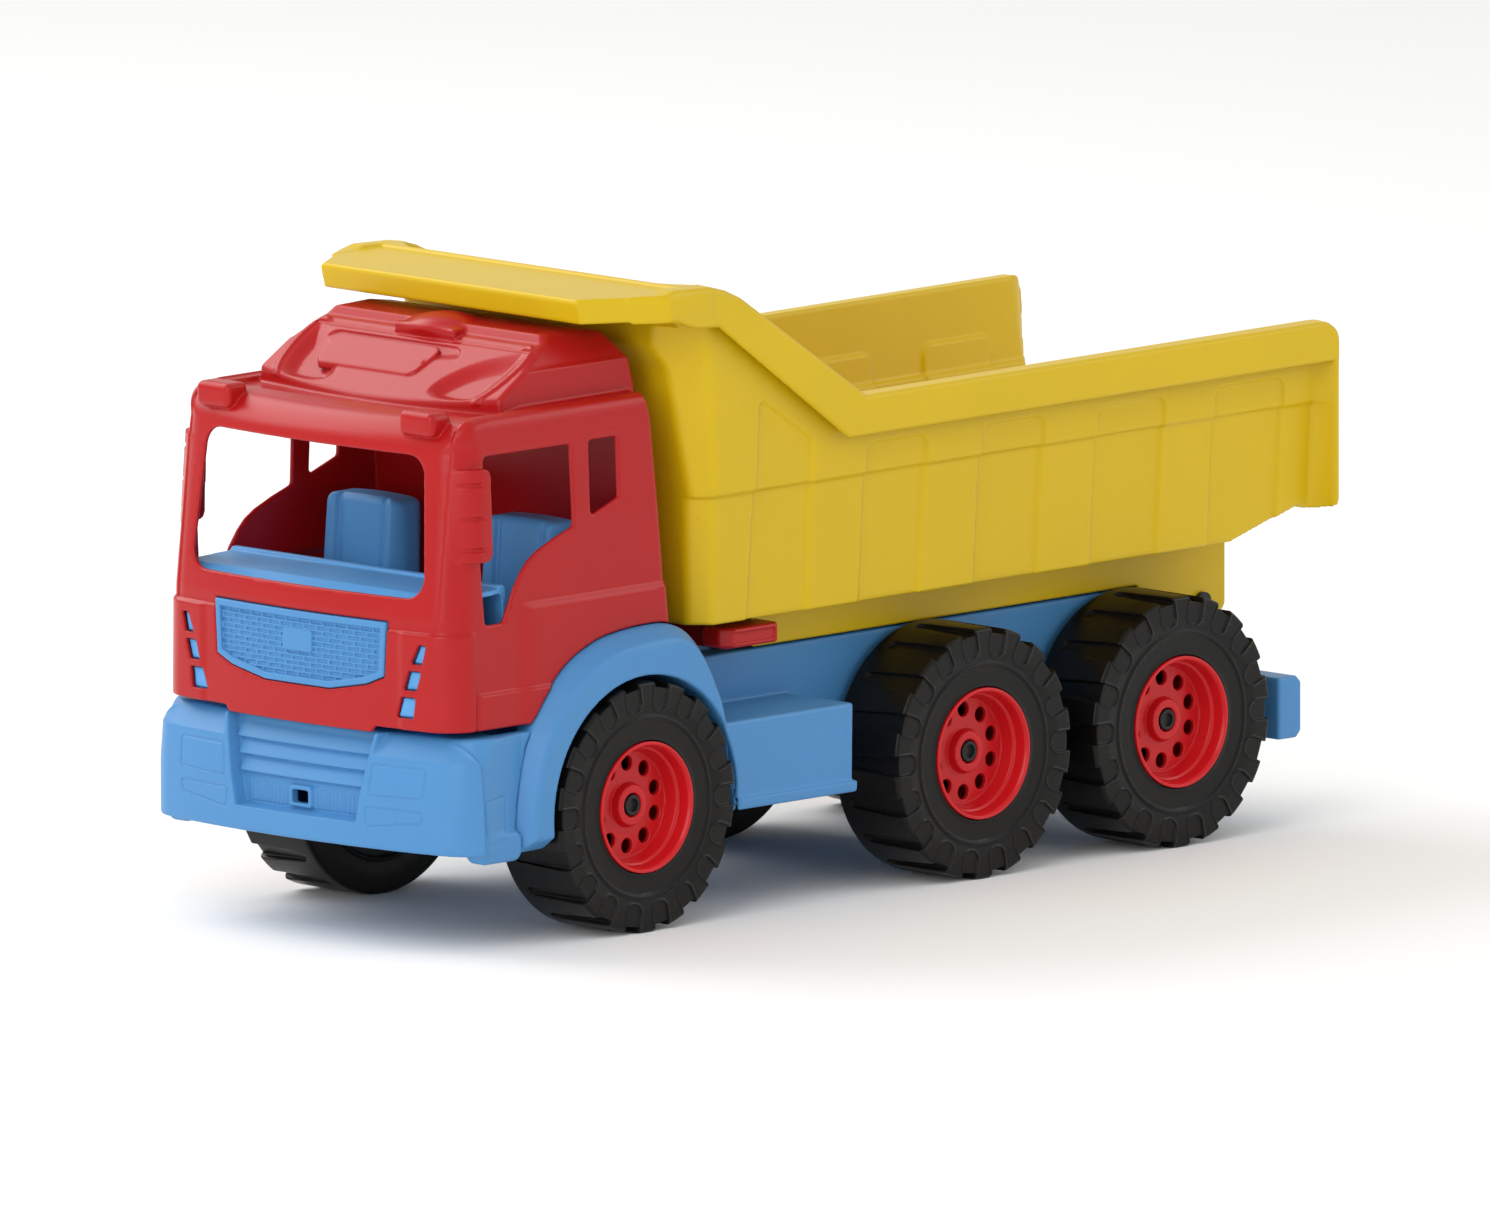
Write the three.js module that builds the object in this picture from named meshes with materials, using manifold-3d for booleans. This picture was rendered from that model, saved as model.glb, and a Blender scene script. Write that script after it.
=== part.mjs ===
// Toy tipper truck: a moulded plastic sand-pit lorry with three axles, a hollow cab and a tipping bed.
// Millimetres. +X is the way the truck drives, +Y is its left side, +Z is up.
// The origin is on the ground, under the middle of the truck's length and width.
import * as THREE from "three";
import { mergeVertices } from "three/addons/utils/BufferGeometryUtils.js";
import Module from "manifold-3d";

const wasm = await Module();
wasm.setup();

// ---------------------------------------------------------------- driving dimensions

const WALL = 2.5; // wall of every moulding
const GAP = 0.35; // air between two pieces that touch on the real toy
const HALF_LENGTH = 302;

const WHEEL = { radius: 60, width: 42, outerFace: 107.3 };
const WHEEL_MID_Y = WHEEL.outerFace - WHEEL.width / 2;
const AXLE_X = { front: 171, middle: -58.5, rear: -193.5 };
const AXLE_RADIUS = 3;
const BORE_RADIUS = 3.45;

const RIB_DEPTH = 13; // ribs under the chassis deck
const CHASSIS = { halfWidth: 62, bottom: 52, deck: 118, front: 262, rear: -264 };
const ARCH_RADIUS = 63; // inside of the front mudguards
const GUARD_OUTER_Y = 107;
const STEP = { rear: 28.5, front: 116, top: 94 };

const CAB = { halfWidth: 93.5, bottom: 107, rear: 143, shoulder: 255, roof: 285, roofHalfWidth: 78 };
const BUMPER = { bottom: 48, top: 103.5, halfWidth: 107, rear: 256 };
const REAR_BAR = { front: -266, rear: -280.5, bottom: 42, top: 72, halfWidth: 100 };

const BED = { bottom: 139, rim: 240, canopy: 303, wallTopY: 99, wallBottomY: 94, lipY: 107, lipDrop: 19 };
const RAIL = { inner: 62.6, outer: 65, front: 55, rear: -262 };
const PIVOT = { x: -250, z: 107, lug: 9 };
const LATCH = { x: 78, halfThickness: 6, bottom: 122, top: 132, knobInner: 71, knobOuter: 88 };

// ---------------------------------------------------------------- solids

// A closed geometry as a solid that can be joined and cut.
function solid(geometry) {
  const bare = geometry.clone();
  bare.deleteAttribute("normal");
  bare.deleteAttribute("uv");
  const merged = mergeVertices(bare, 1e-4);
  const triVerts = new Uint32Array(merged.index.array);
  const vertProperties = new Float32Array(merged.attributes.position.array);
  const made = new wasm.Manifold(new wasm.Mesh({ numProp: 3, vertProperties, triVerts }));
  if (made.volume() > 0) return made;
  for (let i = 0; i < triVerts.length; i += 3) {
    [triVerts[i + 1], triVerts[i + 2]] = [triVerts[i + 2], triVerts[i + 1]];
  }
  return new wasm.Manifold(new wasm.Mesh({ numProp: 3, vertProperties, triVerts }));
}

// A solid as a geometry with flat shading.
function geometryOf(shape) {
  const mesh = shape.getMesh();
  const geometry = new THREE.BufferGeometry()
    .setAttribute("position", new THREE.BufferAttribute(Float32Array.from(mesh.vertProperties), 3))
    .setIndex(new THREE.BufferAttribute(Uint32Array.from(mesh.triVerts), 1))
    .toNonIndexed();
  geometry.computeVertexNormals();
  return geometry;
}

const union = (...shapes) => shapes.reduce((a, b) => a.add(b));
const cut = (shape, ...tools) => tools.reduce((a, b) => a.subtract(b), shape);

function block([x0, x1], [y0, y1], [z0, z1]) {
  const box = new THREE.BoxGeometry(x1 - x0, y1 - y0, z1 - z0);
  return solid(box.translate((x0 + x1) / 2, (y0 + y1) / 2, (z0 + z1) / 2));
}

const shapeOf = (points) => new THREE.Shape(points.map(([a, b]) => new THREE.Vector2(a, b)));

function extruded(outline, depth) {
  const shape = outline instanceof THREE.Shape ? outline : shapeOf(outline);
  return new THREE.ExtrudeGeometry(shape, { depth, bevelEnabled: false, curveSegments: 10 });
}

// An outline in X and Z, extruded from y0 to y1.
const alongY = (outline, [y0, y1]) =>
  solid(extruded(outline, y1 - y0).rotateX(Math.PI / 2).translate(0, y1, 0));

// An outline in X and Y, extruded from z0 to z1.
const alongZ = (outline, [z0, z1]) => solid(extruded(outline, z1 - z0).translate(0, 0, z0));

// An outline in Y and Z, extruded from x0 to x1.
function alongX(outline, [x0, x1]) {
  const turn = new THREE.Matrix4().makeBasis(
    new THREE.Vector3(0, 1, 0),
    new THREE.Vector3(0, 0, 1),
    new THREE.Vector3(1, 0, 0),
  );
  return solid(extruded(outline, x1 - x0).applyMatrix4(turn).translate(x0, 0, 0));
}

// A profile of [radius, y] points turned about the Y axis. It closes on itself.
function turned(profile, segments) {
  const closed = [...profile, profile[0]].map(([r, y]) => new THREE.Vector2(r, y));
  return solid(new THREE.LatheGeometry(closed, segments));
}

// A round bar along Y.
function barY(radius, [y0, y1], x, z, segments = 16) {
  const rod = new THREE.CylinderGeometry(radius, radius, y1 - y0, segments);
  return solid(rod.translate(x, (y0 + y1) / 2, z));
}

// A round bar along Z.
function barZ(radius, [z0, z1], x, y, segments = 12) {
  const rod = new THREE.CylinderGeometry(radius, radius, z1 - z0, segments).rotateX(Math.PI / 2);
  return solid(rod.translate(x, y, (z0 + z1) / 2));
}

// The same outline on the other side of the truck's middle plane.
const mirrored = (outline) => outline.map(([y, z]) => [-y, z]).reverse();
const bothSides = (make) => union(make(1), make(-1));
const span = (side, a, b) => (side > 0 ? [a, b] : [-b, -a]);

// Leans the side walls of a solid inwards towards the bottom.
function tapered(shape, topY, bottomY, topZ, bottomZ) {
  return shape.warp((v) => {
    const down = THREE.MathUtils.clamp((topZ - v[2]) / (topZ - bottomZ), 0, 1);
    v[1] *= 1 - (down * (topY - bottomY)) / topY;
  });
}

// ---------------------------------------------------------------- materials and the group

const plastic = (color, roughness = 0.38) => new THREE.MeshStandardMaterial({ color, roughness, metalness: 0 });
const RED = plastic(0xc4161c);
const BLUE = plastic(0x4f9be0);
const YELLOW = plastic(0xe0b820);
const TYRE = plastic(0x1c1c1c, 0.55);
const BLACK = plastic(0x101010, 0.5);
const STEEL = new THREE.MeshStandardMaterial({ color: 0xb8bcc0, roughness: 0.3, metalness: 1 });

const truck = new THREE.Group();

function piece(name, shape, material, parent = truck) {
  const mesh = new THREE.Mesh(geometryOf(shape), material);
  mesh.name = name;
  parent.add(mesh);
  return mesh;
}

// ---------------------------------------------------------------- chassis

// Outline of a front mudguard from the side: arch below, rounded shoulder above.
function guardOutline(grow = 0) {
  const { front } = AXLE_X;
  const shape = new THREE.Shape();
  shape.moveTo(front + 79 + grow, 50 - grow);
  shape.lineTo(front + 76 + grow, 78);
  shape.quadraticCurveTo(front + 68 + grow, 126 + grow, front + 26, 139 + grow);
  shape.quadraticCurveTo(front - 2, 146.5 + grow, front - 28, 144 + grow);
  shape.quadraticCurveTo(front - 40 - grow, 140 + grow, front - 48 - grow, 120);
  shape.lineTo(front - 71 - grow, 57);
  shape.lineTo(front - 72 - grow, 50 - grow);
  shape.lineTo(front - 62, 50 - grow);
  if (grow === 0) {
    const low = Math.asin((WHEEL.radius - 50) / ARCH_RADIUS);
    shape.absarc(front, WHEEL.radius, ARCH_RADIUS, Math.PI + low, -low, true);
  }
  return shape;
}

// The barrel that closes the top of a wheel arch between the frame and the mudguard.
function archBarrel() {
  const { front } = AXLE_X;
  const outer = ARCH_RADIUS + WALL;
  const shape = new THREE.Shape();
  shape.absarc(front, WHEEL.radius, outer, Math.PI, 0, true);
  shape.absarc(front, WHEEL.radius, ARCH_RADIUS, 0, Math.PI, false);
  return shape;
}

// A U-shaped guide on the deck that the latch bar slides through.
function latchSaddle(y) {
  const { x, halfThickness, bottom } = LATCH;
  const half = halfThickness + GAP + 2;
  return cut(
    block([x - half, x + half], y, [CHASSIS.deck - 1, bottom + 6]),
    block([x - halfThickness - GAP, x + halfThickness + GAP], [y[0] - 1, y[1] + 1], [bottom - GAP, bottom + 7]),
  );
}

function makeChassis() {
  const { halfWidth, bottom, deck, front, rear } = CHASSIS;
  const channel = cut(
    block([rear, front], [-halfWidth, halfWidth], [bottom, deck]),
    block([rear + WALL, front - WALL], [WALL - halfWidth, halfWidth - WALL], [bottom - 1, deck - WALL]),
  );
  const ribAt = [-226, -126, -20, 60, 120, 222];
  const ribs = ribAt.map((x) =>
    block([x, x + WALL], [0.5 - halfWidth, halfWidth - 0.5], [deck - RIB_DEPTH, deck - 1]),
  );
  const guards = bothSides((side) =>
    union(
      alongY(guardOutline(), span(side, CAB.halfWidth + 1, GUARD_OUTER_Y)),
      alongY(archBarrel(), span(side, halfWidth - 1, GUARD_OUTER_Y - 1)),
    ),
  );
  const steps = bothSides((side) =>
    cut(
      block([STEP.rear, STEP.front], span(side, halfWidth - 1, GUARD_OUTER_Y), [bottom, STEP.top]),
      block(
        [STEP.rear + WALL, STEP.front + 1],
        span(side, halfWidth, GUARD_OUTER_Y - WALL),
        [bottom - 1, STEP.top - WALL],
      ),
      barY(ARCH_RADIUS, span(side, halfWidth, GUARD_OUTER_Y + 1), AXLE_X.front, WHEEL.radius, 40),
    ),
  );
  const saddles = bothSides((side) => latchSaddle(span(side, 28, 50)));
  const axleHoles = Object.values(AXLE_X).map((x) =>
    barY(BORE_RADIUS, [-halfWidth - 2, halfWidth + 2], x, WHEEL.radius),
  );
  const pinHole = barY(BORE_RADIUS, [-halfWidth - 2, halfWidth + 2], PIVOT.x, PIVOT.z);
  const screwHoles = SCREW_AT.map(([x, y]) => barZ(SCREW.hole, [deck - 6, deck + 1], x, y));
  return cut(
    union(channel, guards, steps, saddles, ...ribs),
    ...axleHoles,
    pinHole,
    ...screwHoles,
  );
}

// ---------------------------------------------------------------- screws

const SCREW = { shank: 1.5, hole: 1.9, head: 3.6, headHeight: 2.2, length: 12 };
const SCREW_AT = [
  [252, 48],
  [252, -48],
  [176, 48],
  [176, -48],
];

function makeScrew([x, y]) {
  const under = CHASSIS.deck - WALL - GAP;
  return union(
    barZ(SCREW.head, [under - SCREW.headHeight, under], x, y),
    barZ(SCREW.shank, [under - 0.5, under + SCREW.length], x, y),
  );
}

// ---------------------------------------------------------------- front bumper

// The bumper from above: a shallow bow with rounded ends that run back along the sides.
function bumperPlan(inset) {
  const half = BUMPER.halfWidth - inset;
  const nose = HALF_LENGTH - inset;
  const corner = 279;
  const shape = new THREE.Shape();
  shape.moveTo(BUMPER.rear, -half);
  shape.lineTo(corner - 5, -half);
  shape.quadraticCurveTo(corner + 12 - inset, -half, corner + 15 - inset, 22 - half);
  shape.quadraticCurveTo(nose, 48 - half, nose, 0);
  shape.quadraticCurveTo(nose, half - 48, corner + 15 - inset, half - 22);
  shape.quadraticCurveTo(corner + 12 - inset, half, corner - 5, half);
  shape.lineTo(BUMPER.rear, half);
  return shape;
}

const TOW_HOLE = { halfWidth: 5.2, bottom: 64.5, top: 71 };

function makeFrontBumper() {
  const { bottom, top } = BUMPER;
  const shell = cut(
    alongZ(bumperPlan(0), [bottom, top]),
    alongZ(bumperPlan(WALL), [bottom - 1, top - WALL]),
    block([BUMPER.rear - 1, CHASSIS.front + GAP], [-CAB.halfWidth, CAB.halfWidth], [bottom - 1, top + 1]),
  );
  const towHole = block(
    [HALF_LENGTH - 20, HALF_LENGTH + 1],
    [-TOW_HOLE.halfWidth, TOW_HOLE.halfWidth],
    [TOW_HOLE.bottom, TOW_HOLE.top],
  );
  return cut(shell, towHole);
}

// ---------------------------------------------------------------- rear bumper bar

function makeRearBar() {
  const { front, rear, bottom, top, halfWidth } = REAR_BAR;
  const bar = alongX(
    [
      [-halfWidth, bottom + 2],
      [2 - halfWidth, bottom],
      [halfWidth - 2, bottom],
      [halfWidth, bottom + 2],
      [halfWidth, top - 2],
      [halfWidth - 2, top],
      [2 - halfWidth, top],
      [-halfWidth, top - 2],
    ],
    [rear, front],
  );
  const hollow = block([rear + WALL, front + 1], [WALL - halfWidth, halfWidth - WALL], [bottom + WALL, top - WALL]);
  const rib = block([rear + 1, front], [-1.25, 1.25], [bottom + 1, top - 1]);
  const lugs = bothSides((side) =>
    block([front - 1, CHASSIS.rear - GAP], span(side, 30, 34), [CHASSIS.bottom + 4, top]),
  );
  const webs = bothSides((side) => block([rear + 1, front], span(side, 30, 34), [bottom + 1, top - 1]));
  return union(cut(bar, hollow), rib, webs, lugs);
}

// ---------------------------------------------------------------- cab

// The cab from the side, without the roof cap. A larger inset gives the inside.
function cabSide(inset, floor) {
  return [
    [296.5 - inset, floor],
    [297 - inset, 150],
    [294.5 - inset, 176],
    [289 - inset, 236],
    [286 - inset, 249 - inset],
    [277 - inset, CAB.shoulder - inset],
    [153 + inset, CAB.shoulder - inset],
    [151.5 + inset, 244],
    [145 + inset, 165],
    [CAB.rear + inset, floor],
  ];
}

// The cab from above: a shallow curved front with rounded corners.
function cabPlan(inset) {
  const half = CAB.halfWidth - inset;
  const shape = new THREE.Shape();
  shape.moveTo(CAB.rear - 5, -half);
  shape.lineTo(278, -half);
  shape.quadraticCurveTo(291 - inset, -half, 293.5 - inset, 14 - half);
  shape.quadraticCurveTo(300 - inset, 45 - half, 300 - inset, 0);
  shape.quadraticCurveTo(300 - inset, half - 45, 293.5 - inset, half - 14);
  shape.quadraticCurveTo(291 - inset, half, 278, half);
  shape.lineTo(CAB.rear - 5, half);
  return shape;
}

const roofCapSide = (inset) => [
  [262 - inset, CAB.shoulder - 6],
  [255 - inset, CAB.shoulder - inset / 2],
  [213 - inset / 2, 279 - inset],
  [200, CAB.roof - inset],
  [162 + inset / 2, CAB.roof - inset],
  [154 + inset, 277],
  [151.5 + inset, CAB.shoulder - 6],
];

const WINDSCREEN = [
  [-69, 178],
  [-62, 174.5],
  [62, 174.5],
  [69, 178],
  [75, 184],
  [71.5, 232],
  [66, 237],
  [-66, 237],
  [-71.5, 232],
  [-75, 184],
];
const DOOR_WINDOW = [
  [208.5, 236],
  [208.5, 197],
  [228, 190],
  [240, 183],
  [258, 156.5],
  [269, 156.5],
  [270.5, 186],
  [266, 236],
];
const REAR_QUARTER_WINDOW = [
  [176.5, 236],
  [176.5, 207.5],
  [195.5, 201],
  [195.5, 236],
];
const GRILLE = [
  [-56, 157],
  [-54.5, 131],
  [-44, 126.5],
  [-21, 122],
  [21, 122],
  [44, 126.5],
  [54.5, 131],
  [56, 157],
];
const LAMP_SLOTS = [
  [[71, 138.5], [77.5, 138.5], [79.8, 148], [75.8, 148]],
  [[66.7, 125.7], [74.2, 125.7], [77.1, 134.9], [69.8, 134.9]],
  [[62, 112.2], [72.3, 112.2], [73.6, 121.9], [65.2, 121.9]],
];

function grown(outline, by) {
  const middle = outline.reduce(([a, b], [y, z]) => [a + y / outline.length, b + z / outline.length], [0, 0]);
  return outline.map(([y, z]) => [y + Math.sign(y - middle[0]) * by, z + Math.sign(z - middle[1]) * by]);
}

function makeCabShell() {
  const floor = CAB.bottom;
  const bodyOuter = alongY(cabSide(0, floor), [-CAB.halfWidth, CAB.halfWidth]).intersect(
    alongZ(cabPlan(0), [floor - 5, CAB.shoulder + 5]),
  );
  const inside = CAB.halfWidth - WALL;
  const bodyInner = alongY(cabSide(WALL, floor - 8), [-inside, inside]).intersect(
    alongZ(cabPlan(WALL), [floor - 10, CAB.shoulder + 5]),
  );
  const capOuter = alongY(roofCapSide(0), [-CAB.roofHalfWidth, CAB.roofHalfWidth]);
  const capHalf = CAB.roofHalfWidth - WALL;
  const capInner = alongY(roofCapSide(WALL), [-capHalf, capHalf]);
  const beacon = alongX(
    [
      [-14, CAB.roof - 1],
      [14, CAB.roof - 1],
      [9, CAB.roof + 3],
      [-9, CAB.roof + 3],
    ],
    [184, 212],
  );
  const markers = bothSides((side) => block([274, 288], span(side, 53.5, 79), [247.5, 258]));
  const deflectors = bothSides((side) =>
    block([269, 284], span(side, CAB.halfWidth - 1, CAB.halfWidth + 4.5), [188, 230]),
  );
  const walls = union(bodyOuter, capOuter, markers, deflectors, beacon.intersect(capOuter.translate([0, 0, 4])));
  const windows = bothSides((side) =>
    union(
      alongY(DOOR_WINDOW, span(side, inside - 2, CAB.halfWidth + 0.3)),
      alongY(REAR_QUARTER_WINDOW, span(side, inside - 2, CAB.halfWidth + 2)),
    ),
  );
  const slots = LAMP_SLOTS.flatMap((slot) => [
    alongX(slot, [284, 305]),
    alongX(mirrored(slot), [284, 305]),
  ]);
  const guardRoom = bothSides((side) =>
    alongY(guardOutline(0.8), span(side, CHASSIS.halfWidth - 1.4, GUARD_OUTER_Y)),
  );
  const deckRoom = block(
    [CAB.rear - 2, CHASSIS.front + GAP],
    [-CHASSIS.halfWidth - GAP, CHASSIS.halfWidth + GAP],
    [floor - 10, CHASSIS.deck + GAP],
  );
  return cut(
    walls,
    bodyInner,
    capInner,
    alongX(WINDSCREEN, [262, 305]),
    windows,
    alongX(GRILLE, [284, 305]),
    ...slots,
    guardRoom,
    deckRoom,
  );
}

// The grille stands in its opening and spreads behind the cab's front wall.
function makeGrille() {
  const face = alongX(grown(GRILLE, -GAP), [291, 297.5]);
  const flange = alongX(grown(GRILLE, 1.5), [289.5, 293]).subtract(
    alongX(grown(GRILLE, 4), [292.4, 300]),
  );
  return union(face, flange).intersect(alongZ(cabPlan(1.2), [100, 170]));
}

// Floor, two seat backs, dashboard and the panel behind the lamp slots, moulded as one.
const SEAT = { x: 185, depth: 14, middleY: 51, halfWidth: 22, top: 195.5 };
const TUB = { floor: 129, front: 287.5, halfWidth: 88 };

function seatBack(side) {
  const { x, depth, middleY, halfWidth, top } = SEAT;
  const chamfer = 5;
  const plan = [
    [x, -halfWidth],
    [x + depth - chamfer, -halfWidth],
    [x + depth, chamfer - halfWidth],
    [x + depth, halfWidth - chamfer],
    [x + depth - chamfer, halfWidth],
    [x, halfWidth],
  ].map(([a, b]) => [a, b + side * middleY]);
  return alongZ(plan, [TUB.floor, top]);
}

function makeInterior() {
  const { floor, front, halfWidth } = TUB;
  const floorPlate = block([150, front - 20], [-halfWidth, halfWidth], [floor - WALL, floor]);
  const dash = alongY(
    [
      [250, floor - WALL],
      [250, 172],
      [256, 178.5],
      [281, 178.5],
      [front, 168],
      [front, 109],
      [front - WALL, 109],
      [front - WALL - 1, 166],
      [280, 175.5],
      [257, 175.5],
      [253, 171],
      [253, floor - WALL],
    ],
    [-74, 74],
  );
  const hood = block([262, 279], [18, 62], [178, 181.5]);
  const lampPanels = bothSides((side) => block([281, front - 2], span(side, 58, 84), [109, 151]));
  const tie = block([252, front - 1], [-73, 73], [floor - WALL, floor]);
  const bosses = SCREW_AT.map(([x, y]) => barZ(4, [CHASSIS.deck + GAP, floor - 1], x, y));
  const screwHoles = SCREW_AT.map(([x, y]) => barZ(SCREW.hole, [CHASSIS.deck - 1, floor + 0.5], x, y));
  return cut(
    union(floorPlate, tie, dash, hood, lampPanels, seatBack(1), seatBack(-1), ...bosses),
    ...screwHoles,
  );
}

// ---------------------------------------------------------------- dump bed

const bedSide = [
  [120, BED.bottom],
  [-241, BED.bottom],
  [-301.5, 157],
  [-301.5, BED.rim],
  [20, BED.rim],
  [113, BED.canopy],
  [138, BED.canopy],
  [138, 268],
  [125, 200],
];
const bedInside = [
  [117.5, BED.bottom + WALL],
  [-241.4, BED.bottom + WALL],
  [-310, 162.2],
  [-310, 340],
  [130, 340],
  [130, BED.canopy - WALL],
  [135.5, BED.canopy - WALL],
  [135.5, 268.5],
  [122.5, 200.5],
];
// Top and bottom edges of the turned-down lip along each side.
const lipTop = [
  [-HALF_LENGTH, 232],
  [-HALF_LENGTH + 3, 238],
  [-HALF_LENGTH + 9, BED.rim],
  [20, BED.rim],
  [105, 296],
  [116, 302],
  [126, 305],
  [150, 305],
  [158, BED.canopy],
];
const lipBottom = [
  [158, 290],
  [149, 289],
  [137, 284.5],
  [122, 284],
  [32, BED.rim - BED.lipDrop],
  [-HALF_LENGTH, BED.rim - BED.lipDrop],
];

// The canopy over the cab, from above.
const canopyPlan = (inset) => [
  [128, BED.lipY - inset],
  [157 - inset * 0.4, BED.lipY - inset],
  [196 - inset, 84 - inset * 0.6],
  [196 - inset, inset * 0.6 - 84],
  [157 - inset * 0.4, inset - BED.lipY],
  [128, inset - BED.lipY],
];

function makeBed() {
  const { wallTopY, wallBottomY, lipY, rim, bottom, canopy } = BED;
  const taper = (shape) => tapered(shape, wallTopY, wallBottomY, rim - 20, bottom);
  const tub = cut(
    taper(alongY(bedSide, [-wallTopY, wallTopY])),
    taper(alongY(bedInside, [WALL - wallTopY, wallTopY - WALL])),
  );
  const lips = bothSides((side) =>
    cut(
      alongY([...lipTop, ...lipBottom], span(side, wallTopY - WALL, lipY)),
      alongY(
        [...lipTop.map(([x, z]) => [x - (x > 0 ? 0 : 5), z - WALL]), [160, 200], [-320, 200]],
        span(side, wallTopY, lipY - WALL),
      ),
    ),
  );
  const canopyShell = cut(
    alongZ(canopyPlan(0), [290, canopy]),
    alongZ(canopyPlan(WALL), [280, canopy - WALL]),
    block([100, 130], [WALL - wallTopY, wallTopY - WALL], [280, 310]),
    block([100, 158], [wallTopY, lipY - WALL], [280, canopy - WALL]),
    block([100, 158], [WALL - lipY, -wallTopY], [280, canopy - WALL]),
  );
  const tail = cut(
    block([-HALF_LENGTH, WALL - HALF_LENGTH], [-lipY, lipY], [149, rim - 3]),
    alongX(
      [
        [-92, 160.5],
        [92, 160.5],
        [96.5, rim + 1],
        [-96.5, rim + 1],
      ],
      [-HALF_LENGTH - 1, 10 - HALF_LENGTH],
    ),
  );
  const railOutline = [
    [RAIL.front, CHASSIS.deck + 0.6],
    [RAIL.front, bottom + 1],
    [RAIL.rear, bottom + 4],
    [RAIL.rear, CHASSIS.deck],
    [PIVOT.x - PIVOT.lug, PIVOT.z],
    [PIVOT.x - PIVOT.lug * 0.7, PIVOT.z - PIVOT.lug * 0.7],
    [PIVOT.x, PIVOT.z - PIVOT.lug],
    [PIVOT.x + PIVOT.lug * 0.7, PIVOT.z - PIVOT.lug * 0.7],
    [PIVOT.x + PIVOT.lug, PIVOT.z],
    [PIVOT.x + PIVOT.lug + 4, CHASSIS.deck + 0.6],
  ];
  const rails = bothSides((side) => alongY(railOutline, span(side, RAIL.inner, RAIL.outer)));
  const catches = [-1, 1].map((way) => {
    const x = LATCH.x + way * (LATCH.halfThickness + 6);
    return block([x - 1.2, x + 1.2], [-14, 14], [CHASSIS.deck + 3, bottom + 1]);
  });
  const crossRibs = [30, -60, -150, -225].map((x) =>
    block([x, x + WALL], [1 - RAIL.outer, RAIL.outer - 1], [CHASSIS.deck + 1.2, bottom + 1]),
  );
  const pinHole = barY(BORE_RADIUS, [-70, 70], PIVOT.x, PIVOT.z);
  return cut(union(tub, lips, canopyShell, tail, rails, ...catches, ...crossRibs), pinHole);
}

function makeHingePin() {
  const end = RAIL.outer + GAP;
  return union(
    barY(AXLE_RADIUS, [-end - 0.5, end + 0.5], PIVOT.x, PIVOT.z),
    barY(4.6, [end, end + 2], PIVOT.x, PIVOT.z),
    barY(4.6, [-end - 2, -end], PIVOT.x, PIVOT.z),
  );
}

// ---------------------------------------------------------------- bed latch

function makeLatch() {
  const { x, halfThickness, bottom, top, knobInner, knobOuter } = LATCH;
  const bar = block([x - halfThickness, x + halfThickness], [-knobInner - 1, knobInner + 1], [bottom, top]);
  const knobPlan = [
    [x - 18, knobInner],
    [x + 19, knobInner],
    [x + 19, knobOuter - 6],
    [x + 13, knobOuter],
    [x - 15, knobOuter],
    [x - 18, knobOuter - 3],
  ];
  const knob = alongZ(knobPlan, [bottom + 3, top + 2.5]);
  const otherKnob = alongZ(knobPlan.map(([a, b]) => [a, -b]).reverse(), [bottom + 3, top + 2.5]);
  return union(bar, knob, otherKnob);
}

// ---------------------------------------------------------------- wheels

const RIM = { lip: 31.4, hole: 3.6, holeCircle: 19.9, holes: 10, disc: 6.8 };

// Across the wheel, +Y is the face that shows.
function makeRim() {
  const half = WHEEL.width / 2 - 0.5;
  const profile = [
    [BORE_RADIUS, 2 - half],
    [7.5, 2 - half],
    [7.5, RIM.disc - WALL],
    [RIM.lip - 2.1, RIM.disc - WALL],
    [RIM.lip - 2.1, -half],
    [RIM.lip, -half],
    [RIM.lip, half],
    [RIM.lip - 1.8, half],
    [RIM.lip - 2.1, RIM.disc],
    [12.5, RIM.disc],
    [8.5, 11.3],
    [5.4, 11.3],
    [5.4, 7.3],
    [BORE_RADIUS, 7.3],
  ];
  const holes = Array.from({ length: RIM.holes }, (_, i) => {
    const angle = ((i + 0.5) * 2 * Math.PI) / RIM.holes;
    const [x, z] = [RIM.holeCircle * Math.cos(angle), RIM.holeCircle * Math.sin(angle)];
    return barY(RIM.hole, [RIM.disc - 6, RIM.disc + 4], x, z, 6);
  });
  return cut(turned(profile, 24), ...holes);
}

// A tyre hollow between its beads, as it comes out of the mould.
function makeTyre() {
  const half = WHEEL.width / 2;
  const bead = RIM.lip + GAP;
  return turned(
    [
      [bead, -half],
      [58, -half],
      [WHEEL.radius, 3 - half],
      [WHEEL.radius, half - 3],
      [58, half],
      [bead, half],
      [bead, half - 3.5],
      [56, half - 3.5],
      [56, 3.5 - half],
      [bead, 3.5 - half],
    ],
    32,
  );
}

// The push-on cap that keeps a wheel on its axle, in the pocket of the hub.
function makeCap() {
  return turned(
    [
      [0.01, 7.7],
      [4.8, 7.7],
      [4.8, 10.6],
      [4, 11],
      [0.01, 10.4],
    ],
    16,
  );
}

function makeAxle(x) {
  const end = WHEEL_MID_Y + 7.3;
  return barY(AXLE_RADIUS, [-end, end], x, WHEEL.radius);
}

// ---------------------------------------------------------------- assembly

piece("chassis", makeChassis(), BLUE);
piece("front_bumper", makeFrontBumper(), BLUE);
piece("rear_bumper", makeRearBar(), BLUE);
piece("cab_shell", makeCabShell(), RED);
piece("grille_insert", makeGrille(), BLUE);
piece("cab_interior", makeInterior(), BLUE);
piece("dump_bed", makeBed(), YELLOW);
piece("bed_hinge_pin", makeHingePin(), BLACK);
piece("bed_latch", makeLatch(), RED);
SCREW_AT.forEach((at, i) => piece("cab_screw_" + (i + 1), makeScrew(at), STEEL));

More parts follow.
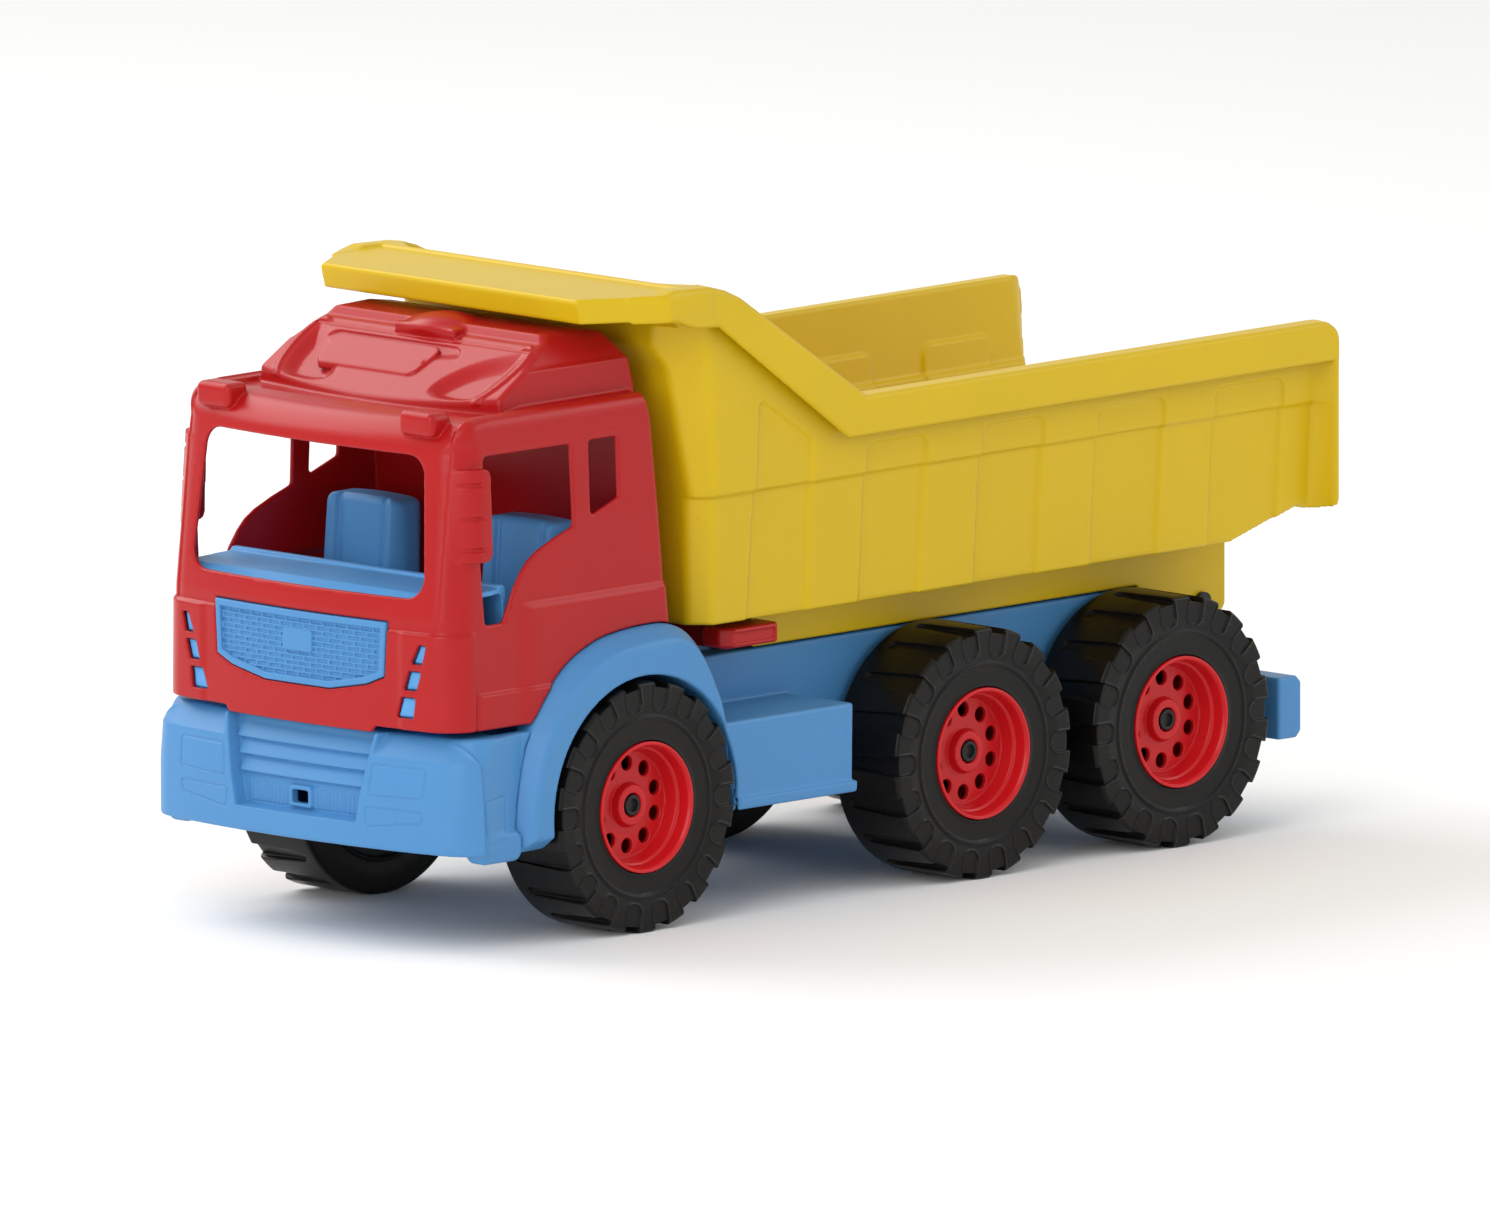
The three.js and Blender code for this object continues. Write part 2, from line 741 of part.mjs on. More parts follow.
const rim = makeRim();
const tyre = makeTyre();
const cap = makeCap();
for (const [axle, x] of Object.entries(AXLE_X)) {
  piece("axle_" + axle, makeAxle(x), STEEL);
  for (const side of ["left", "right"]) {
    const wheel = new THREE.Group();
    wheel.position.set(x, side === "left" ? WHEEL_MID_Y : -WHEEL_MID_Y, WHEEL.radius);
    wheel.rotation.z = side === "left" ? 0 : Math.PI;
    truck.add(wheel);
    piece(`tyre_${axle}_${side}`, tyre, TYRE, wheel);
    piece(`rim_${axle}_${side}`, rim, RED, wheel);
    piece(`hub_cap_${axle}_${side}`, cap, BLACK, wheel);
  }
}

export default truck;
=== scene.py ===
import copy
import math

import bpy
import numpy as np
import openvdb
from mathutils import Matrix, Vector


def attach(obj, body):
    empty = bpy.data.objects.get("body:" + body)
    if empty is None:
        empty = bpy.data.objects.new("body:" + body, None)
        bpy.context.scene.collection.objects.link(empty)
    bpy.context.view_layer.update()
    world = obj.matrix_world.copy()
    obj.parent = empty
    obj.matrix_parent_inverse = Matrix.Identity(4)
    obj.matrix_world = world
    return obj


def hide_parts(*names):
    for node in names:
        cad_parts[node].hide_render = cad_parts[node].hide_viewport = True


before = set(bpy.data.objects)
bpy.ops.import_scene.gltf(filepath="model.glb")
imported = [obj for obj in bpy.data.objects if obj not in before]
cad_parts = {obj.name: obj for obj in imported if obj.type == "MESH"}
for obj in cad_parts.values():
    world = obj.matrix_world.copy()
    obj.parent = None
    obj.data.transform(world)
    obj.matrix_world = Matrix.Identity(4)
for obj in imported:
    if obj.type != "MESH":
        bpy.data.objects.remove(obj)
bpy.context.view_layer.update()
for stale in [o for o in bpy.data.objects if o.type in ("CAMERA", "LIGHT")]:
    bpy.data.objects.remove(stale)

# ------------------------------------------------------------------ chassis
# The blue frame under everything, one moulding: a deep channel that is open below, a step box
# on each side and the front mudguards with the barrels that close the tops of the wheel arches.

MM = 0.001
BED, LATCH, TRUCK = "bed", "latch", "truck"
STEP_SCALE = 1.0


class Mould:
    """The space round one piece, in millimetres. Lengths in it are fields: below zero is plastic."""

    def __init__(self, low, high, step, mirrored=True):
        self.step = step * STEP_SCALE
        self.mirrored = mirrored
        self.low = np.array([low[0], 0.0 if mirrored else low[1], low[2]], dtype=np.float32)
        counts = [int(math.ceil((b - a) / self.step)) + 1 for a, b in zip(self.low, high)]
        axes = [a + self.step * np.arange(n, dtype=np.float32) for a, n in zip(self.low, counts)]
        self.x, self.y, self.z = np.meshgrid(*axes, indexing="ij", sparse=True)
        self.counts = counts

    def filled(self, field):
        return np.broadcast_to(field, self.counts).astype(np.float32)

    def unfold(self, field):
        """The whole of a mirrored piece, for details that are on one side only."""
        field = self.filled(field)
        whole = copy.copy(self)
        whole.mirrored = False
        whole.y = np.concatenate([-self.y[:, :0:-1], self.y], axis=1)
        whole.low = np.array([self.low[0], whole.y[0, 0, 0], self.low[2]], dtype=np.float32)
        whole.counts = [self.counts[0], whole.y.shape[1], self.counts[2]]
        return whole, np.concatenate([field[:, :0:-1, :], field], axis=1)


def cross(a, b, radius=0.0):
    """Where both solids are, with the outside corner between them rounded."""
    if np.max(radius) <= 0:
        return np.maximum(a, b)
    over_a = np.maximum(a + radius, 0)
    over_b = np.maximum(b + radius, 0)
    return np.minimum(np.maximum(a, b), -radius) + np.sqrt(over_a * over_a + over_b * over_b)


def join(a, b, radius=0.0):
    """Both solids together, with the inside corner between them filled."""
    return -cross(-a, -b, radius)


def carve(a, tool, radius=0.0):
    return cross(a, -tool, radius)


def slab(v, low, high):
    return np.maximum(low - v, v - high)


def box(m, x, y, z, radius=0.0):
    flat = cross(slab(m.x, *x), slab(m.z, *z), radius)
    return cross(flat, slab(m.y, *y), radius)


def inset(points, by):
    """The outline moved inwards by a distance."""
    p = np.array(points, dtype=float)
    turn = np.sign(np.sum(p[:, 0] * np.roll(p[:, 1], -1) - np.roll(p[:, 0], -1) * p[:, 1]))
    edge = np.roll(p, -1, axis=0) - p
    edge /= np.linalg.norm(edge, axis=1)[:, None]
    inward = turn * np.stack([-edge[:, 1], edge[:, 0]], 1)
    before, after = np.roll(inward, 1, axis=0), inward
    middle = before + after
    middle /= np.sum(middle * middle, axis=1)[:, None] / 2
    return p + by * middle


def outline(a, b, points, radius=0.0):
    """Distance to a closed outline in two of the axes, with its outside corners rounded."""
    p = inset(points, radius) if radius else np.array(points, dtype=float)
    nearest, sign = None, None
    for (ax, ay), (bx, by) in zip(p, np.roll(p, -1, axis=0)):
        ex, ey = bx - ax, by - ay
        wx, wy = a - np.float32(ax), b - np.float32(ay)
        t = np.clip((wx * ex + wy * ey) / (ex * ex + ey * ey), 0, 1)
        squared = (wx - ex * t) ** 2 + (wy - ey * t) ** 2
        flip = ((b >= ay) & (b < by) & (ex * wy > ey * wx)) | ((b < ay) & (b >= by) & (ex * wy < ey * wx))
        nearest = squared if nearest is None else np.minimum(nearest, squared)
        sign = np.where(flip, -1.0, 1.0) if sign is None else np.where(flip, -sign, sign)
    return (np.sqrt(nearest) * sign - radius).astype(np.float32)


def flowing(points, per=5):
    """A smooth line through some points."""
    p = [np.array(v, dtype=float) for v in points]
    p = [2 * p[0] - p[1], *p, 2 * p[-1] - p[-2]]
    line = []
    for a, b, c, d in zip(p, p[1:], p[2:], p[3:]):
        for t in np.arange(per) / per:
            bend = (2 * a - 5 * b + 4 * c - d) * t * t + (3 * b - a - 3 * c + d) * t**3
            line.append(tuple(b + 0.5 * ((c - a) * t + bend)))
    return line + [tuple(p[-2])]


def ramp(v, low, high):
    """0 at low, 1 at high, smooth between."""
    t = np.clip((v - low) / (high - low), 0, 1)
    return (t * t * (3 - 2 * t)).astype(np.float32)


def table(v, *pairs):
    """A value that follows a row of (position, value) pairs."""
    at, value = zip(*sorted(pairs))
    return np.interp(v, at, value).astype(np.float32)


def sample(field, at):
    """The field between its own points."""
    at = np.clip(at, 0, np.array(field.shape) - 1.001)
    base = at.astype(int)
    part = at - base
    total = 0.0
    for corner in np.ndindex(2, 2, 2):
        weight = np.prod(np.where(corner, part, 1 - part), axis=1)
        i, j, k = (base + corner).T
        total = total + weight * field[i, j, k]
    return total


def slopes(field, at):
    """Unit normals of the field at some points."""
    out = np.empty((len(at), 3))
    for axis in range(3):
        nudge = np.zeros(3)
        nudge[axis] = 0.6
        out[:, axis] = sample(field, at + nudge) - sample(field, at - nudge)
    return out / np.maximum(np.linalg.norm(out, axis=1), 1e-9)[:, None]


def mesh_from(name, mould, field, adapt=0.02):
    """Turns a field into a closed mesh in metres with normals taken from the field itself."""
    if mould.mirrored:
        mould, field = mould.unfold(field)
    field = mould.filled(field)
    low = mould.low.astype(float)
    reach = 3 * mould.step
    field = np.clip(field, -reach, reach)
    grid = openvdb.FloatGrid(reach)
    grid.copyFromArray(field, tolerance=1e-4)
    points, triangles, quads = grid.convertToPolygons(isovalue=0.0, adaptivity=adapt)
    normals = slopes(field, points)
    corners = np.concatenate([quads.ravel(), triangles.ravel()])
    starts = np.concatenate([np.arange(len(quads)) * 4, len(quads) * 4 + np.arange(len(triangles)) * 3])
    mesh = bpy.data.meshes.new(name)
    mesh.vertices.add(len(points))
    mesh.vertices.foreach_set("co", ((low + points * mould.step) * MM).astype(np.float32).ravel())
    mesh.loops.add(len(corners))
    mesh.loops.foreach_set("vertex_index", corners.astype(np.int32))
    mesh.polygons.add(len(starts))
    mesh.polygons.foreach_set("loop_start", starts.astype(np.int32))
    mesh.update(calc_edges=True)
    mesh.shade_smooth()
    mesh.normals_split_custom_set_from_vertices(normals)
    return mesh


def settle(name, mesh, body, slot, material, *nodes, place=(0, 0, 0), turn=0.0):
    """Puts a finished mesh in the scene on its body, in place of its CAD solids."""
    piece = bpy.data.objects.new(name, mesh)
    piece.location = [v * MM for v in place]
    piece.rotation_euler = (0, 0, turn)
    bpy.context.scene.collection.objects.link(piece)
    if material and not mesh.materials:
        mesh.materials.append(material)
    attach(piece, body)
    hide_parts(*nodes)
    return piece


def group_of(name, inputs, outputs):
    """An empty shader node group with named sockets."""
    group = bpy.data.node_groups.new(name, "ShaderNodeTree")
    for label, kind, value in inputs:
        socket = group.interface.new_socket(label, in_out="INPUT", socket_type=kind)
        socket.default_value = value
    for label, kind in outputs:
        group.interface.new_socket(label, in_out="OUTPUT", socket_type=kind)
    return group, group.nodes.new("NodeGroupInput"), group.nodes.new("NodeGroupOutput")


def node(tree, kind, links=(), **values):
    """Adds a node, sets its properties and sockets, and links its inputs."""
    made = tree.nodes.new(kind)
    for key, value in values.items():
        if hasattr(made, key):
            setattr(made, key, value)
        else:
            made.inputs[key.replace("_", " ")].default_value = value
    for socket, source in dict(links).items():
        tree.links.new(source, made.inputs[socket])
    return made


def make_moulded_skin():
    """Orange peel, fine mould grain and a slow drift of pigment, as on any injection moulding."""
    group, given, result = group_of(
        "moulded_skin",
        [
            ("Color", "NodeSocketColor", (0.5, 0.5, 0.5, 1)),
            ("Roughness", "NodeSocketFloat", 0.35),
            ("Grain", "NodeSocketFloat", 0.3),
            ("Peel", "NodeSocketFloat", 0.5),
        ],
        [("Color", "NodeSocketColor"), ("Roughness", "NodeSocketFloat"), ("Height", "NodeSocketFloat")],
    )
    place = node(group, "ShaderNodeTexCoord").outputs["Object"]
    fine = node(group, "ShaderNodeTexNoise", {"Vector": place}, Scale=1700.0, Detail=2.0).outputs["Fac"]
    peel = node(group, "ShaderNodeTexNoise", {"Vector": place}, Scale=190.0, Detail=2.0).outputs["Fac"]
    drift = node(group, "ShaderNodeTexNoise", {"Vector": place}, Scale=14.0, Detail=3.0).outputs["Fac"]
    grain_height = node(group, "ShaderNodeMath", {0: fine, 1: given.outputs["Grain"]}, operation="MULTIPLY")
    peel_height = node(group, "ShaderNodeMath", {0: peel, 1: given.outputs["Peel"]}, operation="MULTIPLY")
    height = node(group, "ShaderNodeMath", {0: grain_height.outputs[0], 1: peel_height.outputs[0]})
    shade = node(group, "ShaderNodeMapRange", {"Value": drift}, To_Min=0.94, To_Max=1.06)
    speck = node(group, "ShaderNodeMapRange", {"Value": fine}, To_Min=0.975, To_Max=1.025)
    both = node(group, "ShaderNodeMath", {0: shade.outputs[0], 1: speck.outputs[0]}, operation="MULTIPLY")
    color = node(
        group,
        "ShaderNodeMix",
        {6: given.outputs["Color"], 7: both.outputs[0]},
        data_type="RGBA",
        blend_type="MULTIPLY",
    )
    color.inputs["Factor"].default_value = 1.0
    rough = node(group, "ShaderNodeMapRange", {"Value": drift}, To_Min=0.9, To_Max=1.12)
    final_rough = node(
        group, "ShaderNodeMath", {0: rough.outputs[0], 1: given.outputs["Roughness"]}, operation="MULTIPLY"
    )
    group.links.new(color.outputs[2], result.inputs["Color"])
    group.links.new(final_rough.outputs[0], result.inputs["Roughness"])
    group.links.new(height.outputs[0], result.inputs["Height"])
    return group


moulded_skin = make_moulded_skin()


def moulded_plastic(name, color, roughness=0.34, grain=0.25, peel=0.6, bump=0.00012, shine=0.3):
    """A glossy or satin moulded plastic in one pigment."""
    material = bpy.data.materials.new(name)
    material.use_nodes = True
    tree = material.node_tree
    shader = tree.nodes["Principled BSDF"]
    skin = node(tree, "ShaderNodeGroup", node_tree=moulded_skin)
    skin.inputs["Color"].default_value = (*color, 1)
    skin.inputs["Roughness"].default_value = roughness
    skin.inputs["Grain"].default_value = grain
    skin.inputs["Peel"].default_value = peel
    relief = node(tree, "ShaderNodeBump", {"Height": skin.outputs["Height"]}, Distance=bump, Strength=0.6)
    tree.links.new(skin.outputs["Color"], shader.inputs["Base Color"])
    tree.links.new(skin.outputs["Roughness"], shader.inputs["Roughness"])
    tree.links.new(relief.outputs["Normal"], shader.inputs["Normal"])
    shader.inputs["IOR"].default_value = 1.49
    shader.inputs["Specular IOR Level"].default_value = shine
    return material


BLUE = (0.070, 0.245, 0.515)
blue_plastic = moulded_plastic("blue_plastic", BLUE, roughness=0.38)

FRONT_AXLE_X, MIDDLE_AXLE_X, REAR_AXLE_X = 171.0, -58.5, -193.5
AXLE_Z = 60.0
PIVOT_X, PIVOT_Z = -250.0, 107.0
PIN_HOLE_R = 3.4
SCREW_R = 2.0
SCREWS = ((252, 48), (176, 48))
GUARD_Y = 107.0
ARCH = 63.0
DECK_Z = 118.0
FRAME_Y = 62.0
FRAME_RIBS_X = (-226, -126, -20, 60, 120, 222)
RIB = 2.5
guard_line = flowing([
    (254, 46), (252, 70), (245, 97), (231, 117), (215, 132), (196, 140.7), (180, 143.8), (163, 145),
    (149, 144.6), (139, 141.5), (131.5, 136), (125, 128), (118.3, 116), (111.6, 99), (102, 50),
])


def guard_field(m):
    """The mudguard from the side, before the arch is cut out of it."""
    return outline(m.x, m.z, [*guard_line, (103, 49.5), (253, 45.5)])


def wheel_arch(m, radius):
    return np.sqrt((m.x - FRONT_AXLE_X) ** 2 + (m.z - AXLE_Z) ** 2) - radius


def round_hole(m, x, z, radius=PIN_HOLE_R):
    """A hole right across the truck."""
    return np.sqrt((m.x - x) ** 2 + (m.z - z) ** 2) - radius


def screw_hole(m, x, y):
    return np.sqrt((m.x - x) ** 2 + (m.y - y) ** 2) - SCREW_R


def frame_channel(m):
    """The deep channel of the frame, with ribs across it."""
    outside = box(m, (-264, 262), (-20, FRAME_Y), (52, DECK_Z), 1.6)
    inside = cross(cross(slab(m.x, -261.5, 259.5), m.y - FRAME_Y + RIB), m.z - DECK_Z + RIB, 1.5)
    channel = carve(outside, inside, 0.8)
    for at in FRAME_RIBS_X:
        channel = np.minimum(channel, box(m, (at, at + RIB), (-1, 61), (105, 117)))
    return channel


def mudguard(m):
    """The front mudguard, bevelled to its edge, with the barrel that closes the arch behind it."""
    edge = guard_field(m)
    bevel = 0.82 * (edge + 6.5) + 0.57 * (m.y - GUARD_Y)
    guard = cross(cross(cross(edge, slab(m.y, 88, GUARD_Y), 1.0), bevel, 1.2), 88 - m.y)
    barrel = cross(np.maximum(wheel_arch(m, ARCH + RIB), 60 - m.z), slab(m.y, 61, 100))
    wing = carve(np.minimum(guard, barrel), wheel_arch(m, ARCH), 1.1)
    return cross(wing, m.x - 255, 1.0)


def step_box(m):
    """The step behind the mudguard, a box open below with a lip round its foot."""
    end = 28.4 + 0.03 * (94 - m.z) - 2.2 * (1 - ramp(m.z, 56.6, 57.6))
    skin = table(m.z, (52, 107.2), (56.6, 107.2), (57.6, 105.7), (94, 105.2))
    step = cross(cross(end - m.x, m.y - skin, 1.8), slab(m.z, 51.5, 94), 1.4)
    step = cross(cross(step, m.x - 122), 61 - m.y)
    hollow = cross(cross(end + RIB - m.x, m.y - skin + RIB, 1.2), m.z - 91.5, 1.0)
    step = carve(step, np.maximum(np.maximum(hollow, FRAME_Y - m.y), m.x - 130), 0.8)
    return carve(step, wheel_arch(m, ARCH + 0.1), 0.8)


def make_chassis():
    m = Mould((-266, 0, 44), (263, 108.5, 147), 0.9)
    chassis = join(frame_channel(m), join(mudguard(m), step_box(m), 1.0), 1.2)
    chassis = carve(chassis, np.maximum(wheel_arch(m, ARCH), FRAME_Y + 0.1 - m.y))
    for x in (FRONT_AXLE_X, MIDDLE_AXLE_X, REAR_AXLE_X):
        chassis = carve(chassis, round_hole(m, x, AXLE_Z), 0.4)
    chassis = carve(chassis, round_hole(m, PIVOT_X, PIVOT_Z), 0.4)
    for x, y in SCREWS:
        chassis = carve(chassis, np.maximum(screw_hole(m, x, y), 110 - m.z))
    saddle = box(m, (69.6, 86.4), (28, 50), (116, 128), 0.8)
    saddle = carve(saddle, box(m, (71.6, 84.4), (20, 60), (121.6, 140)), 0.4)
    return mesh_from("chassis", m, np.minimum(chassis, saddle))


settle("chassis_moulding", make_chassis(), TRUCK, "blue_plastic", blue_plastic, "chassis")

# ------------------------------------------------------------------ front bumper
# A blue moulding that clips over the nose of the chassis: two thick corner caps and between them
# a sunk panel with four louvres, a fluted band with the hole for a pull string, and a lower lip.

LOUVRE_PITCH = 7.9
TOP_LOUVRE_Z = 99.4
PANEL_DEPTH = 7.0
CAP_CHAMFER_Z = 92.5


def bumper_front(m):
    """How far forward the bumper's skin stands, before its relief."""
    bow = 7.2 * (m.y / 85) ** 2.2
    lean = table(m.z, (48, 0.2), (75, 0.0), (92, 1.6), (104, 3.4))
    return 301.8 - bow - lean


def cap_inner_edge(m, wider=0.0):
    return m.y - table(m.z, (48, 39.5 - wider), (60, 41 - wider), (103, 50 - wider))


def panel_relief(m):
    """The louvres, the fluted band and the frame of the pull-string hole, on the sunk panel."""
    below = np.mod(TOP_LOUVRE_Z - m.z, LOUVRE_PITCH) / LOUVRE_PITCH
    louvre = 3.5 * below * (1 - ramp(below, 0.9, 1.0)) * ramp(m.z, 73.5, 74.6) * (1 - ramp(m.z, 99, 99.8))
    flutes = 0.85 * (0.5 + 0.5 * np.cos(2 * np.pi * m.y / 2.7)) * (1 - ramp(m.y, 34.4, 35.4))
    flutes = flutes * ramp(m.z, 60.6, 61.6) * (1 - ramp(m.z, 71.6, 72.6))
    tow_frame = outline(m.y, m.z, [(-8, 61.8), (8, 61.8), (8, 73.6), (-8, 73.6)], 2.5)
    framed = 1 - ramp(tow_frame, -0.8, 0.2)
    return np.maximum((louvre + flutes) * (1 - framed), 2.4 * framed)


def lamp_lines(m):
    """Two lamps engraved in the face of each corner cap."""
    upper = outline(m.y, m.z, [(49, 88.5), (80, 88.5), (79, 74.5), (47, 73.5)], 1.5)
    lower = outline(m.y, m.z, [(45, 67.8), (79, 67.8), (78, 62.5), (46, 58.5)], 1.5)
    return 0.55 * (2 - ramp(np.abs(upper), 0.2, 0.9) - ramp(np.abs(lower), 0.2, 0.9))


def bumper_side(m):
    """The end of the bumper, which steps in and narrows behind the corner cap."""
    flank_line = m.x - table(m.z, (48, 279.5), (92, 281.5), (104, 287))
    flank = (2.0 + 0.19 * np.clip(281 - m.x, 0, 32)) * (1 - ramp(flank_line, -1.2, 0.2))
    pane = outline(m.x, m.z, [(262, 53), (277, 53), (278.5, 73.5), (262, 75)], 1.0)
    flank = flank + 0.5 * (1 - ramp(np.abs(pane), 0.2, 0.9))
    return m.y - 107 + flank + 0.35 * np.clip(m.z - CAP_CHAMFER_Z, 0, 12) * ramp(flank_line, 0, 2)


def make_front_bumper():
    m = Mould((240, 0, 42), (303.2, 108, 105), 0.5)
    sunk = cross(cap_inner_edge(m, 1.5), 59.8 - m.z)
    depth = PANEL_DEPTH * (1 - ramp(sunk, -2.2, 0.0))
    relief = panel_relief(m) * (1 - ramp(sunk, -3.2, -2.2))
    chamfer = np.clip(m.z - CAP_CHAMFER_Z, 0, 12) * 0.55 * ramp(cap_inner_edge(m), 0, 1.5)
    skin = bumper_front(m) - depth + relief - chamfer - lamp_lines(m)
    front = (m.x - skin) * 0.97
    side = bumper_side(m)
    body = cross(cross(front, side, 17), slab(m.z, 48.2, 103.5), 1.6)
    mudguard_front = table(m.z, (46, 254.6), (70, 252.8), (97, 245.8), (104, 241.5))
    rear = 256.5 - (256.5 - mudguard_front) * ramp(m.y, 86, 90)
    body = cross(body, rear - m.x, 0.5)
    inner = cross(cross(m.x - bumper_front(m) + 9.4, side + 3.2, 12), m.z - 101, 1.5)
    body = carve(body, np.maximum(inner, 50.7 - m.z), 0.8)
    body = carve(body, np.maximum(m.x - 262.4, m.y - 93), 0.3)
    hole = outline(m.y, m.z, [(-5.3, 64.6), (5.3, 64.6), (5.3, 70.9), (-5.3, 70.9)], 1.3)
    body = carve(body, np.maximum(hole, 280 - m.x), 0.5)
    foot = outline(m.x, m.z, [(252, 43.4), (279, 43.4), (284, 58), (252, 58)], 5)
    foot = cross(foot, slab(m.y, 92, 103.4), 2.5)
    return mesh_from("front_bumper", m, join(body, foot, 2.0), adapt=0.01)


front_bumper = make_front_bumper()
settle("front_bumper_moulding", front_bumper, TRUCK, "blue_plastic", blue_plastic, "front_bumper")

# ------------------------------------------------------------------ rear bumper bar
# A blue hollow bar across the tail, moulded with an opening at its front and stiffening webs
# inside. It is fixed to the end of the frame by two lugs.

def make_rear_bar():
    m = Mould((-283, 0, 40), (-262, 101, 74), 0.6)
    rear_bar_side = [(-281.6, 45.5), (-278.6, 42.3), (-266, 42.3), (-266, 72), (-278.6, 72), (-281.6, 69)]
    section = outline(m.x, m.z, rear_bar_side, 1.0)
    bar = cross(section, m.y - 100.6, 1.6)
    bar = carve(bar, np.maximum(cross(slab(m.z, 45, 69.4), m.y - 84, 1.5), -278 - m.x), 0.6)
    for low, high in ((-1.2, 1.2), (30, 34), (64, 66)):
        bar = np.minimum(bar, box(m, (-279, -266.4), (low, high), (43, 71)))
    lug = box(m, (-267, -264.4), (29.5, 34.5), (55, 72), 0.6)
    return mesh_from("rear_bumper", m, np.minimum(bar, lug))


settle("rear_bumper_moulding", make_rear_bar(), TRUCK, "blue_plastic", blue_plastic, "rear_bumper")

# ------------------------------------------------------------------ cab shell
# One thin red moulding with open windows, dropped over the interior and clipped to the frame.
# A stepped roof cap with a hatch, two scoops and a beacon stands on it.

RED = (0.405, 0.0065, 0.0075)
red_plastic = moulded_plastic("red_plastic", RED, roughness=0.3)

CAB_WALL = 2.5
CAB_BELT_Z = 163.5
grille_outline = [
    (-56, 157), (-54.5, 131), (-44, 126.6), (-21, 122.2), (21, 122.2), (44, 126.6), (54.5, 131), (56, 157),
]
windscreen = [(-76.2, 169.3), (76.2, 169.3), (70.8, 236.8), (-70.8, 236.8)]
door_window = [
    (267, 236.6), (208.3, 236.2), (207.6, 197.3), (220, 193.2), (232, 188.4), (238.5, 184.5), (243.5, 179.5),
    (248.5, 172.5), (252.6, 164.5), (257, 156.6), (268.5, 156.6), (270.8, 186),
]
quarter_window = [(176.6, 236.6), (176.6, 207.8), (195.4, 201), (195.4, 236.6)]
lamp_slots = [
    [(71, 138.6), (77.4, 138.6), (79.8, 147.9), (75.6, 147.9)],
    [(66.7, 125.8), (74.2, 125.8), (77.1, 135.2), (69.8, 135.2)],
    [(62, 112.3), (72.3, 112.3), (73.6, 122.4), (65.2, 122.4)],
]
RIDGE = (209.0, 280.3)
SLOPE = 0.605


def cab_front(m):
    """How far forward the cab's face stands."""
    lean = table(m.z, (103, 299.3), (160, 299.8), (172, 298.7), (237, 292.4), (252, 289.6))
    return lean - 3.0 * (m.y / 56) ** 2


SCOOP = flowing([
    (212.5, 66.5), (217, 54.5), (224, 42.5), (234, 33.5), (243, 31.5), (247.6, 39), (248.4, 51), (246, 61.5),
    (238, 67), (226, 69.5), (217, 69), (212.5, 66.5),
], 4)[:-1]


def above_slope(m):
    """Height over the sloping front of the roof cap."""
    return (m.z - RIDGE[1] + SLOPE * (m.x - RIDGE[0])) * 0.856


def add_hatch(m, shell):
    """A sliding hatch to one side of the middle: a raised plate in a shallow track."""
    lift = above_slope(m)
    track = outline(m.x, m.y, [(215, -58.5), (215, 31), (246, 31), (246, -58.5)], 8)
    fade = 1 - ramp(m.x + 0.17 * m.y, 222, 229)
    shell = np.maximum(shell, np.where(np.abs(lift) < 3, np.minimum(lift + 1.1 * fade, -track * 0.8), -9))
    plate = outline(m.x, m.y, [(218, -49), (218, 20), (237, 15), (237, -49)], 5)
    return join(shell, np.maximum(cross(plate, lift - 1.2, 0.8), -2 - lift), 0.4)


def roof_cap(m):
    side = [
        (262, 248), (259, 251.5), (251.5, 254.6), RIDGE, (205.5, 281.4), (203, 285.4), (181, 286),
        (164, 283.4), (153.4, 271), (150.4, 257), (150.4, 248),
    ]
    half = table(m.z, (248, 80), (256, 79), (270.6, 78), (272, 76.6), (281, 71.5), (286, 67.5))
    cap = cross(outline(m.x, m.z, side, 1.2), m.y - half, 2.2)
    nose = m.x - (251.5 - 7.5 * (m.y / 71) ** 2)
    cap = cross(cap, np.where(m.z > 250, nose, -9), 1.6)
    leaf = outline(m.x, m.y, SCOOP)
    deep = 3.6 * ramp(-leaf, -0.3, 8.5) * (1 - 0.45 * ramp(m.x, 240, 248))
    cap = np.maximum(cap, np.where(leaf < 1, above_slope(m) + deep, -9))
    rim = 0.9 * (1 - ramp(np.abs(leaf - 2.2), 0.8, 2.2)) * ramp(m.y, 60, 66)
    cap = cap - rim * ramp(above_slope(m), -2.5, -1)
    for x, z in ((206.6, 282.6), (212.8, 278.9)):
        cap = carve(cap, np.maximum(np.sqrt((m.x - x) ** 2 + (m.z - z) ** 2) - 1.1, m.y - 70), 0.4)
    return cap


def beacon(m):
    collar = box(m, (186, 212.5), (-1, 20), (278, 283.8), 1.8)
    dome = (np.sqrt(((m.x - 197) / 17) ** 2 + (m.y / 19) ** 2 + ((m.z - 282.6) / 6.2) ** 2) - 1) * 6.2
    return join(collar, dome, 1.5)


def door_deflector(m, body):
    """A curved vane down the windscreen pillar, with three short steps in it."""
    panel = outline(m.x, m.z, [(286, 231.8), (266.5, 231.8), (266.5, 187.2), (286, 187.2)], 4.5)
    stands = 3.9 * (1 - ramp(m.x, 275, 286))
    for z in (224.5, 208.7, 193.6):
        notch = ramp(m.z, z - 1.7, z - 0.7) * (1 - ramp(m.z, z + 0.4, z + 0.9))
        stands = stands - 1.3 * notch * ramp(m.x, 271.5, 273) * (1 - ramp(m.x, 279, 283))
    return np.maximum(cross(panel, body - stands, 0.8), np.maximum(-2.4 - body, 80 - m.y))


